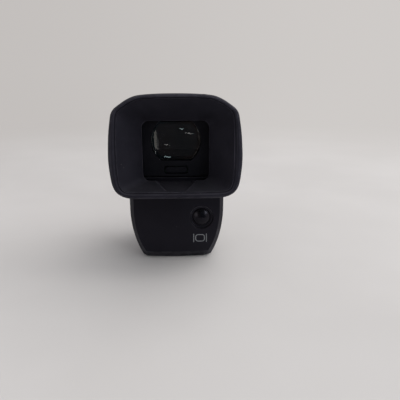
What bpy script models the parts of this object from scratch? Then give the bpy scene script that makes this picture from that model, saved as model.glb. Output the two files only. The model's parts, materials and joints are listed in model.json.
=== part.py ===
"""Clip on electronic viewfinder, built as separate pieces.

Units are metres. +Z is up, +Y points to the front of the camera, and the eyepiece faces -Y.
The origin is the centre of the underside of the shoe foot.
The tube tilts up on two hinge bushes held by the cheeks of the base.
"""
import math

import bmesh
import bpy
from mathutils import Vector

MM = 0.001

# Fits and cutting
GAP = 0.3 * MM                  # clearance between pieces that sit on each other
RUNNING_GAP = 0.4 * MM          # clearance round the tube where it swings past the base
OVERRUN = 1.0 * MM              # how far a cutter passes the face that it cuts
MERGE = 0.0001 * MM             # points closer than this are one point
FLAT_ANGLE = math.radians(0.05)
SMOOTH_ANGLE = math.radians(32)
ROUND_STEPS = 24                # sides of a small round piece
FINE_STEPS = 40                 # sides of a lens or a dial
ARC_STEPS = 8                   # points on a quarter turn of a large fillet
DROP_BOW_STEPS = 4              # points on half of the bowed lower edge
BOW_REACH = 6                   # the higher, the less the bow lifts the sides

# Shoe foot, the standard accessory shoe size
FOOT_WIDTH = 18.6 * MM
FOOT_LENGTH = 18.0 * MM
FOOT_THICKNESS = 2.0 * MM
FOOT_CORNER = 1.2 * MM
NECK_WIDTH = 12.4 * MM
NECK_HEIGHT = 1.6 * MM
FOOT_SCREW_INSET_X = 2.2 * MM   # screw centre inside the side of the neck
FOOT_SCREW_INSET_Y = 2.5 * MM   # screw centre inside the end of the foot
FOOT_SCREW_LENGTH = 7.6 * MM

# Screws
SCREW_RADIUS = 0.7 * MM
SCREW_HEAD_RADIUS = 1.3 * MM
SCREW_HEAD_DEPTH = 0.7 * MM
SCREW_SLOT_WIDTH = 0.4 * MM
SCREW_SLOT_DEPTH = 0.35 * MM
BOSS_WALL = 0.8 * MM

# Base and the block that drops down behind the foot
BODY_WIDTH = 30.4 * MM
BASE_HEIGHT = 10.5 * MM
BASE_FRONT = 10.0 * MM          # from the foot's centre to the front of the base
REAR_REACH = 19.5 * MM          # from the foot's centre to the face of the rear panel
DROP_DEPTH = 9.0 * MM
DROP_REACH = 13.6 * MM          # below the underside of the foot
DROP_BOW = 1.1 * MM             # rise of the lower edge towards the sides
DROP_SIDE_RADIUS = 37.5 * MM
DROP_CORNER_RADIUS = 1.9 * MM
WALL = 1.2 * MM
BASE_EDGE = 0.6 * MM
BEVEL_STEPS = 2

# Rear panel
PANEL_THICKNESS = 1.6 * MM
PANEL_CHAMFER = 1.1 * MM
PANEL_SCREW_INSET = 4.8 * MM    # screw centre inside the side of the base
PANEL_SCREW_DROP = 5.2 * MM     # below the underside of the foot
BUTTON_INSET = 7.2 * MM         # button centre inside the right side of the base
BUTTON_RAISE = 0.5 * MM         # button centre above the underside of the foot
BUTTON_RADIUS = 2.9 * MM
BUTTON_RECESS_RADIUS = 3.9 * MM
BUTTON_RECESS_DEPTH = 0.7 * MM
BUTTON_DOME = 0.9 * MM
BUTTON_STAND = 0.35 * MM        # top of the dome above the face of the panel
BUTTON_FLANGE = 0.6 * MM
BUTTON_TRAVEL = 0.5 * MM
BUTTON_STEM_RADIUS = 0.9 * MM

# Tilting tube
TUBE_HEIGHT = 24.0 * MM
TUBE_CORNER = 5.0 * MM
TUBE_REAR = 26.5 * MM           # from the foot's centre to the rear end of the shells
TUBE_SEAM_DROP = 4.5 * MM       # seam of the shells below the hinge axis
HINGE_BACK = 1.2 * MM           # hinge axis behind the foot's centre
HINGE_REACH = 11.5 * MM         # front of the tube ahead of the hinge axis
FRONT_TOP_RADIUS = 2.4 * MM
FRONT_COVER_DEPTH = 3.5 * MM
CHEEK_RADIUS = 8.5 * MM
CHEEK_THICKNESS = 2.8 * MM
TUBE_SCREW_INSET = 2.8 * MM     # screw centre inside the side face of the tube
TUBE_SCREW_REAR = 21.7 * MM     # rear screws behind the foot's centre
TUBE_SCREW_FRONT = 12.7 * MM
TUBE_SCREW_BITE = 2.2 * MM      # screw length above the seam
TUBE_SCREW_SINK = 1.6 * MM      # depth of the screw heads in the lower shell

# Hinge
CAP_RADIUS = 6.6 * MM
CAP_THICKNESS = 0.7 * MM
BUSH_FLANGE_RADIUS = 5.0 * MM
BUSH_FLANGE = 0.7 * MM
BUSH_RADIUS = 2.7 * MM
BUSH_BORE = 1.8 * MM
BUSH_FIT = 0.15 * MM
WASHER_RADIUS = 4.6 * MM
WASHER_THICKNESS = 0.4 * MM
CLIP_RADIUS = 4.2 * MM
CLIP_THICKNESS = 0.5 * MM
CLIP_SLOT_WIDTH = 1.6 * MM
BUSH_TAIL = 0.4 * MM            # end of the bush past its clip

# Eyepiece
LENS_RISE = 0.15 * MM           # optical axis above the hinge axis
LENS_FLAT_SHARE = 0.9           # most that the flats may lie out, share of the radius
LENS_LIP = 0.5 * MM             # rim of the lens behind its window
LENS_BULGE = 1.1 * MM
LENS_BODY = 2.2 * MM
EYEPIECE_PLATE = 1.6 * MM
EYEPIECE_FACE = 0.3 * MM        # plate's rear face inside the end of the shells
COLLAR_REACH = 2.1 * MM         # collar behind the end of the shells
COLLAR_WALL = 1.0 * MM
COLLAR_SIDE = 3.9 * MM          # collar inside the side of the tube
COLLAR_LOW_INSET = 0.1 * MM     # collar inside the lower edge of the plate
COLLAR_TOP_INSET = 0.7 * MM     # collar inside the upper edge of the plate
COLLAR_CORNER = 2.6 * MM
COLLAR_LEG_END = 0.2 * MM       # legs of the collar end this far above its lower corners
SENSOR_WIDTH = 7.0 * MM
SENSOR_HEIGHT = 2.4 * MM
SENSOR_DROP = 2.8 * MM          # window centre below the flat of the lens
SENSOR_THICKNESS = 0.9 * MM

# Eyecup
CUP_REAR = 37.5 * MM            # from the foot's centre to the rim
CUP_FLARE_SIDE = 3.2 * MM       # rim outside the tube at each side
CUP_FLARE_TOP = 2.4 * MM        # rim outside the tube above and below, on average
CUP_DROP = 0.15 * MM            # rim centre below the hinge axis
CUP_LIP_WIDTH = 2.9 * MM        # lip at the sides
CUP_LIP_TOP = 1.6 * MM
CUP_LIP_BOTTOM = 2.2 * MM
CUP_LIP_ROUND = 1.1 * MM        # depth of the rounding of the lip
CUP_LIP_GROOVE = 0.8 * MM       # crease inside the lip, below its crest
CUP_SKIRT_SIDE = 1.0 * MM       # skirt outside the tube where they meet
CUP_SKIRT_LOW = 1.3 * MM
CUP_SKIRT_HIGH = 0.9 * MM
CUP_SKIRT_CORNER = 5.4 * MM
CUP_OPENING_SIDE = 1.6 * MM     # side of the opening inside the collar
CUP_OPENING_LOW = 0.8 * MM      # lower edge of the opening above the bottom of the tube
CUP_OPENING_HIGH = 0.3 * MM     # upper edge of the opening above the flat of the lens
CUP_OPENING_CORNER = 1.6 * MM
CUP_OPENING_DEPTH = 8.0 * MM    # edge of the opening inside the rim
CUP_EDGE = 0.5 * MM             # thickness of the rubber at the opening
CUP_ROOM_LOW = 0.3 * MM         # floor of the room round the collar, below the tube
CUP_NOTCH_WIDE = 10.4 * MM
CUP_NOTCH_NARROW = 5.6 * MM
CUP_NOTCH_DEPTH = 1.0 * MM
CUP_CLIP_WALL = 0.8 * MM
CUP_TRAVEL = 6.0 * MM
RIM_STEPS = 16                  # points on a quarter turn of the eyecup's outlines

# Outline of the rim, right half from the top, as shares of its half width and half height
RIM_SHARES = (
    (0.0, 1.0), (0.27, 0.992), (0.44, 0.979), (0.61, 0.945), (0.77, 0.838), (0.895, 0.69),
    (0.953, 0.475), (0.978, 0.25), (0.995, 0.015), (1.0, -0.2), (0.992, -0.45),
    (0.965, -0.69), (0.877, -0.9), (0.72, -0.985), (0.45, -0.997), (0.0, -1.0))
SKIRT_SHARES = ((0.0, 0.0), (0.22, 0.12), (0.55, 0.5), (0.87, 0.94))   # along the skirt, flare

# Optics inside the tube
BARREL_SIDE = 0.7 * MM          # room between the barrel and the narrow part of the tube
BARREL_SPACE = 2.1 * MM         # room between the barrel and the shells, above and below
BARREL_WALL = 1.0 * MM
BARREL_REAR = 21.7 * MM         # behind the foot's centre
BARREL_FRONT = 6.4 * MM
CARRIAGE_LENGTH = 7.0 * MM
CARRIAGE_WALL = 1.1 * MM
CARRIAGE_EDGE = 0.65 * MM       # carriage above and below the seats of its lenses
CARRIAGE_CENTRE = 14.6 * MM     # behind the foot's centre
INNER_LENS_THICKNESS = 1.4 * MM
INNER_LENS_BULGE = 0.7 * MM
DISPLAY_SIDE = 2.5 * MM         # side of the display inside the end of the hinge bush
DISPLAY_HEIGHT = 10.4 * MM
DISPLAY_THICKNESS = 1.2 * MM
BACKLIGHT_THICKNESS = 1.7 * MM
HOLDER_WALL = 1.1 * MM
HOLDER_MASK = 0.8 * MM
BOARD_THICKNESS = 0.8 * MM
MAIN_BOARD_SIDE = 0.4 * MM      # board inside the side of the barrel
MAIN_BOARD_SPACE = 2.3 * MM     # room between the board and the shells, above and below
MAIN_BOARD_FRONT = 3.8 * MM     # rear face of the board ahead of the foot's centre
CHIP_SIZE = 8.0 * MM
CHIP_THICKNESS = 0.9 * MM

# Dioptre dial, pinion and rack
DIAL_BACK = 17.4 * MM           # dial axis behind the foot's centre
DIAL_RISE = 2.0 * MM            # dial axis above the hinge axis
DIAL_RADIUS = 4.2 * MM
DIAL_RECESS = 0.8 * MM
DIAL_STAND = 1.1 * MM           # dial outside the side face of the tube
DIAL_KNURLS = 24
DIAL_KNURL_DEPTH = 0.22 * MM
DIAL_SHAFT_RADIUS = 1.5 * MM
PINION_TEETH = 8
GEAR_MODULE = 0.5 * MM
GEAR_PLAY = 0.06 * MM           # taken off each flank
PINION_WIDTH = 1.8 * MM
RACK_WIDTH = 1.5 * MM
RACK_HEIGHT = 1.2 * MM          # solid part of the rack below its teeth
RACK_TEETH = 5
RACK_SLOT_PLAY = 2.2 * MM       # slot in the barrel beyond each end of the rack's arm
TOOTH_TIP_SHARE = 0.36          # tooth width at its tip, share of the pitch
TOOTH_ROOT_SHARE = 0.68

# Lock slider, pin and spring in the base
LOCK_PIN_FRONT = 3.5 * MM       # pin axis ahead of the foot's centre
LOCK_PIN_RADIUS = 1.0 * MM
LOCK_PIN_RECESS = 0.2 * MM      # pin's end inside the foot when it is unlocked
LOCK_HEAD_RADIUS = 1.6 * MM
LOCK_HEAD_HEIGHT = 0.9 * MM
LOCK_PIN_LENGTH = 7.7 * MM
LOCK_SLOPE = 0.4                # fall of the pin for each length that the slider moves
LOCK_TRAVEL = 2.5 * MM
LOCK_RAMP_WIDTH = 3.4 * MM
LOCK_BAR_HEIGHT = 1.3 * MM
LOCK_BAR_WIDTH = 4.0 * MM
LOCK_KNOB_LENGTH = 4.0 * MM
LOCK_KNOB_HEIGHT = 2.8 * MM
LOCK_KNOB_STAND = 1.0 * MM
LOCK_KNOB_FRONT = 3.2 * MM      # knob centre ahead of the foot's centre
LOCK_PLATE = 0.8 * MM
SPRING_RADIUS = 1.42 * MM
SPRING_WIRE = 0.13 * MM
SPRING_TURNS = 3
SPRING_STEPS = 12               # points on a turn

# Accessory plug and the board behind the panel
PLUG_WIDTH = 13.0 * MM
PLUG_HEIGHT = 4.2 * MM
PLUG_CORNER = 1.0 * MM
PLUG_SHEET = 0.4 * MM
PLUG_REACH = 5.8 * MM           # ahead of the block
PLUG_DROP = 6.2 * MM            # plug centre below the underside of the foot
TONGUE_HEIGHT = 1.2 * MM
TONGUE_SETBACK = 0.6 * MM
TONGUE_BODY = 1.6 * MM
CONTACT_THICKNESS = 0.18 * MM
CONTACT_WIDTH = 0.5 * MM
CONTACT_PITCH = 1.0 * MM
CONTACTS = 9
SIDE_BOARD_SIDE = 5.2 * MM      # board inside the side of the base
SIDE_BOARD_HIGH = 2.6 * MM      # above the underside of the foot
SIDE_BOARD_LOW = 11.0 * MM
SIDE_BOARD_BACK = 4.7 * MM      # board's rear face behind the panel's face
SWITCH_SIZE = 4.2 * MM
SWITCH_THICKNESS = 1.1 * MM

# Flexible circuits
FLEX_THICKNESS = 0.12 * MM
FLEX_WIDTH = 2.0 * MM
FLEX_CHANNEL = 0.6 * MM
FLEX_CHANNEL_WIDTH = 3.4 * MM
FLEX_CHANNEL_WALL = 0.55 * MM
FLEX_START = 2.0 * MM           # length of the flexible circuit inside the base

# Places worked out from the sizes above
HALF_BODY = BODY_WIDTH / 2
PANEL_SCREW_X = HALF_BODY - PANEL_SCREW_INSET
BUTTON_X = HALF_BODY - BUTTON_INSET
SIDE_BOARD_WIDTH = BODY_WIDTH - 2 * SIDE_BOARD_SIDE
BASE_BOTTOM = FOOT_THICKNESS + NECK_HEIGHT
BASE_TOP = BASE_BOTTOM + BASE_HEIGHT
BASE_CEILING = BASE_TOP - WALL
BASE_FLOOR = BASE_BOTTOM + WALL
PANEL_FACE = -REAR_REACH
PANEL_BACK = PANEL_FACE + PANEL_THICKNESS
HOUSING_REAR = PANEL_BACK + GAP
DROP_FRONT = PANEL_FACE + DROP_DEPTH
HINGE_Y = -HINGE_BACK
HINGE_Z = BASE_TOP + RUNNING_GAP + TUBE_HEIGHT / 2
TUBE_FRONT = HINGE_Y + HINGE_REACH
TUBE_END = -TUBE_REAR
SEAM_Z = HINGE_Z - TUBE_SEAM_DROP
POCKET_RADIUS = CHEEK_RADIUS + RUNNING_GAP
NARROW_HALF = HALF_BODY - CHEEK_THICKNESS - GAP
NARROW_INSIDE = NARROW_HALF - WALL
COVER_REAR = TUBE_FRONT - FRONT_COVER_DEPTH
LENS_Z = HINGE_Z + LENS_RISE
BARREL_HEIGHT = TUBE_HEIGHT - 2 * (WALL + BARREL_SPACE)
BARREL_WIDTH = 2 * (NARROW_INSIDE - BARREL_SIDE)
LENS_SEAT_EDGE = BARREL_WALL + CARRIAGE_EDGE + LENS_LIP + 2 * GAP
LENS_RADIUS = BARREL_WIDTH / 2 - LENS_SEAT_EDGE
LENS_HALF_HEIGHT = min(BARREL_HEIGHT / 2 - LENS_SEAT_EDGE, LENS_RADIUS * LENS_FLAT_SHARE)
MAIN_BOARD_WIDTH = BARREL_WIDTH - 2 * MAIN_BOARD_SIDE
MAIN_BOARD_HEIGHT = TUBE_HEIGHT - 2 * (WALL + MAIN_BOARD_SPACE)
SENSOR_Z = LENS_Z - LENS_HALF_HEIGHT - SENSOR_DROP
TUBE_HALF = TUBE_HEIGHT / 2
COLLAR_WIDTH = BODY_WIDTH - 2 * COLLAR_SIDE
CUP_OPENING_WIDTH = COLLAR_WIDTH - 2 * CUP_OPENING_SIDE
COLLAR_LOW = TUBE_HALF - WALL - GAP - COLLAR_LOW_INSET
COLLAR_HIGH = TUBE_HALF - WALL - GAP - COLLAR_TOP_INSET
CUP_WIDTH = BODY_WIDTH + 2 * CUP_FLARE_SIDE
CUP_HEIGHT = TUBE_HEIGHT + 2 * CUP_FLARE_TOP
CUP_Z = HINGE_Z - CUP_DROP
CUP_FRONT = TUBE_END - GAP
SCREW_HOLE = SCREW_RADIUS + GAP
BOSS_RADIUS = SCREW_HOLE + BOSS_WALL
GEAR_RADIUS = PINION_TEETH * GEAR_MODULE / 2
DIAL_Y = -DIAL_BACK
DIAL_Z = HINGE_Z + DIAL_RISE
PLUG_Z = -PLUG_DROP
BUTTON_Z = BUTTON_RAISE
SIDE_BOARD_FACE = PANEL_FACE + SIDE_BOARD_BACK
PLATE_FRONT = TUBE_END + EYEPIECE_FACE + EYEPIECE_PLATE
PLATE_REAR = TUBE_END + EYEPIECE_FACE
COLLAR_REAR = TUBE_END - COLLAR_REACH
COLLAR_Z = HINGE_Z + (COLLAR_HIGH - COLLAR_LOW) / 2
COLLAR_HEIGHT = COLLAR_HIGH + COLLAR_LOW


def clear_scene():
    for thing in list(bpy.data.objects):
        bpy.data.objects.remove(thing, do_unlink=True)


def make_material(name, colour, roughness, metallic=0.0):
    made = bpy.data.materials.new(name)
    made.use_nodes = True
    shader = made.node_tree.nodes["Principled BSDF"]
    shader.inputs["Base Color"].default_value = (*colour, 1.0)
    shader.inputs["Roughness"].default_value = roughness
    shader.inputs["Metallic"].default_value = metallic
    made.diffuse_color = (*colour, 1.0)
    return made


def add_object(name, shape):
    """Turn a bmesh into an object with clean, outward faces."""
    bmesh.ops.remove_doubles(shape, verts=shape.verts, dist=MERGE)
    bmesh.ops.recalc_face_normals(shape, faces=shape.faces)
    mesh = bpy.data.meshes.new(name)
    shape.to_mesh(mesh)
    shape.free()
    thing = bpy.data.objects.new(name, mesh)
    bpy.context.scene.collection.objects.link(thing)
    return thing


def loft(name, rings, ring_shaped=False):
    """Skin rings of points. The two ends are filled unless the skin closes on itself."""
    shape = bmesh.new()
    made = [[shape.verts.new(point) for point in ring] for ring in rings]
    pairs = list(zip(made, made[1:]))
    if ring_shaped:
        pairs.append((made[-1], made[0]))
    else:
        shape.faces.new(made[0])
        shape.faces.new(made[-1])
    for low, high in pairs:
        for here in range(len(low)):
            after = (here + 1) % len(low)
            shape.faces.new((low[here], low[after], high[after], high[here]))
    return add_object(name, shape)


def along_x(name, points, low, high):
    return loft(name, [[Vector((x, y, z)) for y, z in points] for x in (low, high)])


def along_y(name, points, low, high):
    return loft(name, [[Vector((x, y, z)) for x, z in points] for y in (low, high)])


def along_z(name, points, low, high):
    return loft(name, [[Vector((x, y, z)) for x, y in points] for z in (low, high)])


def box(name, x_span, y_span, z_span):
    corners = [(x_span[0], y_span[0]), (x_span[1], y_span[0]), (x_span[1], y_span[1]),
               (x_span[0], y_span[1])]
    return along_z(name, corners, z_span[0], z_span[1])


def turned(name, profile, centre, axis, steps=ROUND_STEPS):
    """Turn a profile of (radius, distance along the axis) points round an axis."""
    directions = {"X": (Vector((1, 0, 0)), Vector((0, 1, 0)), Vector((0, 0, 1))),
                  "Y": (Vector((0, 1, 0)), Vector((0, 0, 1)), Vector((1, 0, 0))),
                  "Z": (Vector((0, 0, 1)), Vector((1, 0, 0)), Vector((0, 1, 0)))}
    ahead, side, other = directions[axis]
    middle = Vector(centre)
    shape = bmesh.new()
    rows = []
    for radius, distance in profile:
        start = middle + ahead * distance
        if radius == 0:
            rows.append([shape.verts.new(start)])
            continue
        row = []
        for step in range(steps):
            angle = 2 * math.pi * step / steps
            row.append(shape.verts.new(
                start + side * (radius * math.cos(angle)) + other * (radius * math.sin(angle))))
        rows.append(row)
    ends_open = len(rows[0]) > 1
    pairs = list(zip(rows, rows[1:]))
    if ends_open:
        pairs.append((rows[-1], rows[0]))
    for first, second in pairs:
        for here in range(steps):
            after = (here + 1) % steps
            corners = [first[here % len(first)], first[after % len(first)],
                       second[after % len(second)], second[here % len(second)]]
            unique = []
            for corner in corners:
                if corner not in unique:
                    unique.append(corner)
            shape.faces.new(unique)
    return add_object(name, shape)


def rod(name, radius, centre, axis, low, high, steps=ROUND_STEPS):
    return turned(name, [(0, low), (radius, low), (radius, high), (0, high)], centre, axis, steps)


def combine(body, others, operation):
    """Cut, join or intersect, then keep the plain result."""
    for other in others:
        change = body.modifiers.new(other.name, "BOOLEAN")
        change.operation = operation
        change.solver = "EXACT"
        change.object = other
        other.hide_render = True
        other.display_type = "WIRE"
    bpy.context.view_layer.update()
    ready = body.evaluated_get(bpy.context.evaluated_depsgraph_get())
    result = bpy.data.meshes.new_from_object(ready)
    body.modifiers.clear()
    body.data = result
    for other in others:
        bpy.data.objects.remove(other, do_unlink=True)
    shape = bmesh.new()
    shape.from_mesh(body.data)
    bmesh.ops.remove_doubles(shape, verts=shape.verts, dist=MERGE)
    bmesh.ops.dissolve_limit(shape, angle_limit=FLAT_ANGLE, verts=shape.verts, edges=shape.edges)
    shape.to_mesh(body.data)
    shape.free()
    return body


def cut(body, *others):
    return combine(body, others, "DIFFERENCE")


def join(body, *others):
    return combine(body, others, "UNION")


def keep(body, *others):
    return combine(body, others, "INTERSECT")


def copy_of(thing, name):
    made = bpy.data.objects.new(name, thing.data.copy())
    bpy.context.scene.collection.objects.link(made)
    return made


def round_edges(thing, width, chosen, steps=BEVEL_STEPS):
    """Round the edges whose two end points and angle the chooser accepts."""
    shape = bmesh.new()
    shape.from_mesh(thing.data)
    sharp = math.radians(25)
    edges = [edge for edge in shape.edges
             if edge.is_manifold and edge.calc_face_angle() > sharp and chosen(edge)]
    bmesh.ops.bevel(shape, geom=edges, offset=width, offset_type="OFFSET", segments=steps,
                    profile=0.5, affect="EDGES", clamp_overlap=True)
    bmesh.ops.remove_doubles(shape, verts=shape.verts, dist=MERGE)
    shape.to_mesh(thing.data)
    shape.free()
    return thing


def finish(thing, name, material):
    thing.name = name
    thing.data.name = name
    thing.data.materials.clear()
    thing.data.materials.append(material)
    thing.data.shade_smooth()
    thing.data.set_sharp_from_angle(angle=SMOOTH_ANGLE)
    return thing


def hold(thing, empty):
    """Parent a piece to the empty on its joint without moving it."""
    thing.parent = empty
    thing.matrix_parent_inverse = empty.matrix_world.inverted()
    return thing


def joint_empty(name, place):
    empty = bpy.data.objects.new(name, None)
    empty.empty_display_size = GAP
    empty.location = place
    bpy.context.scene.collection.objects.link(empty)
    bpy.context.view_layer.update()
    return empty


def arc(centre, radius, start, stop, steps):
    """Points on an arc, angles in degrees, both ends included."""
    points = []
    for step in range(steps + 1):
        angle = math.radians(start + (stop - start) * step / steps)
        points.append((centre[0] + radius * math.cos(angle),
                       centre[1] + radius * math.sin(angle)))
    return points


def rounded_box(width, height, corner, middle_z, steps=ARC_STEPS, middle_x=0):
    """Outline of a rounded rectangle, anticlockwise from its right side."""
    across = width / 2 - corner
    up = height / 2 - corner
    points = []
    for side_x, side_z, start in ((1, 1, 0), (-1, 1, 90), (-1, -1, 180), (1, -1, 270)):
        centre = (middle_x + side_x * across, middle_z + side_z * up)
        points += arc(centre, corner, start, start + 90, steps)
    return points


def cut_circle(radius, half_height, middle_z, steps=FINE_STEPS):
    """Outline of a circle that is cut flat above and below."""
    turn = math.degrees(math.asin(half_height / radius))
    right = arc((0, middle_z), radius, -turn, turn, steps // 4)
    left = arc((0, middle_z), radius, 180 - turn, 180 + turn, steps // 4)
    return right + left


def drop_bow(x, z):
    """How far the bow of the lower edge lifts a point of the block's outline."""
    share = (BASE_BOTTOM - z) / (BASE_BOTTOM + DROP_REACH)
    share = min(max(share, 0.0), 1.0)
    return DROP_BOW * share ** BOW_REACH * (x / HALF_BODY) ** 2


def drop_outline(inset, top):
    """Rear view of the base: straight sides that curve in below the base, round corners."""
    half = HALF_BODY - inset
    radius = DROP_SIDE_RADIUS - inset
    corner = DROP_CORNER_RADIUS - inset
    bottom = -DROP_REACH + inset
    centre = (half - radius, BASE_BOTTOM)
    corner_z = bottom + corner
    turn = math.degrees(math.asin((BASE_BOTTOM - corner_z) / (radius - corner)))
    corner_x = centre[0] + (radius - corner) * math.cos(math.radians(turn))
    right = [(half, top)]
    right += arc(centre, radius, 0, -turn, ARC_STEPS)
    right += arc((corner_x, corner_z), corner, -turn, -90, ARC_STEPS // 2)[1:]
    for step in range(DROP_BOW_STEPS - 1, 0, -1):
        right.append((corner_x * step / DROP_BOW_STEPS, bottom))
    left = [(-x, z) for x, z in reversed(right)]
    outline = right + [(0.0, bottom)] + left
    return [(x, z + drop_bow(x, z)) for x, z in outline]


def screw(name, head_centre, axis, sign, length, material):
    """Countersunk screw with a cross slot. Its head is at head_centre, its shaft along sign."""
    head = SCREW_HEAD_DEPTH
    profile = [(0, 0), (SCREW_HEAD_RADIUS, 0), (SCREW_RADIUS, sign * head),
               (SCREW_RADIUS, sign * length), (0, sign * length)]
    made = turned(name, profile, head_centre, axis)
    reach = SCREW_HEAD_RADIUS - SCREW_SLOT_DEPTH
    half = SCREW_SLOT_WIDTH / 2
    out = sorted((-sign * OVERRUN, sign * SCREW_SLOT_DEPTH))
    spans = {"X": (0, 1, 2), "Y": (1, 2, 0), "Z": (2, 0, 1)}[axis]
    for long_side in (1, 2):
        size = [None, None, None]
        size[spans[0]] = tuple(head_centre[spans[0]] + value for value in out)
        size[spans[long_side]] = (head_centre[spans[long_side]] - reach,
                                  head_centre[spans[long_side]] + reach)
        short_side = spans[3 - long_side]
        size[short_side] = (head_centre[short_side] - half, head_centre[short_side] + half)
        cut(made, box("slot", *size))
    return finish(made, name, material)


def screw_hole(centre, axis, sign, length):
    """Clearance for a screw and its countersunk head, cut from the head's face."""
    wide = SCREW_HEAD_RADIUS + GAP
    head = sign * (SCREW_HEAD_DEPTH + GAP)
    profile = [(0, -sign * OVERRUN), (wide, -sign * OVERRUN), (wide, 0),
               (SCREW_HOLE, head), (SCREW_HOLE, sign * length), (0, sign * length)]
    return turned("hole", profile, centre, axis)


def foot_screw_places():
    across = NECK_WIDTH / 2 - FOOT_SCREW_INSET_X
    along = FOOT_LENGTH / 2 - FOOT_SCREW_INSET_Y
    return [(side * across, end * along) for side in (-1, 1) for end in (-1, 1)]


def tube_screw_places():
    across = HALF_BODY - TUBE_SCREW_INSET
    return [(side * across, -back) for side in (-1, 1)
            for back in (TUBE_SCREW_REAR, TUBE_SCREW_FRONT)]


def make_shoe_foot(material):
    half = FOOT_WIDTH / 2
    neck = NECK_WIDTH / 2
    top = BASE_BOTTOM - GAP
    section = [(-half, 0), (half, 0), (half, FOOT_THICKNESS), (neck, FOOT_THICKNESS),
               (neck, top), (-neck, top), (-neck, FOOT_THICKNESS), (-half, FOOT_THICKNESS)]
    foot = along_y("foot", section, -FOOT_LENGTH / 2, FOOT_LENGTH / 2)

    def is_corner(edge):
        start, end = (vert.co for vert in edge.verts)
        return abs(start.x) > neck + GAP and abs(start.z - end.z) > GAP

    round_edges(foot, FOOT_CORNER, is_corner)
    holes = [screw_hole((x, y, 0), "Z", 1, top + OVERRUN) for x, y in foot_screw_places()]
    pin_way = rod("pin_way", LOCK_PIN_RADIUS + GAP, (0, LOCK_PIN_FRONT, 0), "Z",
                  -OVERRUN, top + OVERRUN)
    cut(foot, *holes, pin_way)
    return finish(foot, "shoe_foot", material)


def base_side(cheek_radius):
    """Side view of the base: deck, drop down block and the round cheek round the hinge."""
    cheek_top = arc((HINGE_Y, HINGE_Z), cheek_radius, 180, 0, ARC_STEPS * 3)
    below = -DROP_REACH - OVERRUN
    points = [(HOUSING_REAR, BASE_TOP), (HOUSING_REAR, below), (DROP_FRONT, below),
              (DROP_FRONT, BASE_BOTTOM), (BASE_FRONT, BASE_BOTTOM), (BASE_FRONT, BASE_TOP),
              (HINGE_Y + cheek_radius, BASE_TOP)]
    return points + list(reversed(cheek_top)) + [(HINGE_Y - cheek_radius, BASE_TOP)]


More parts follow.
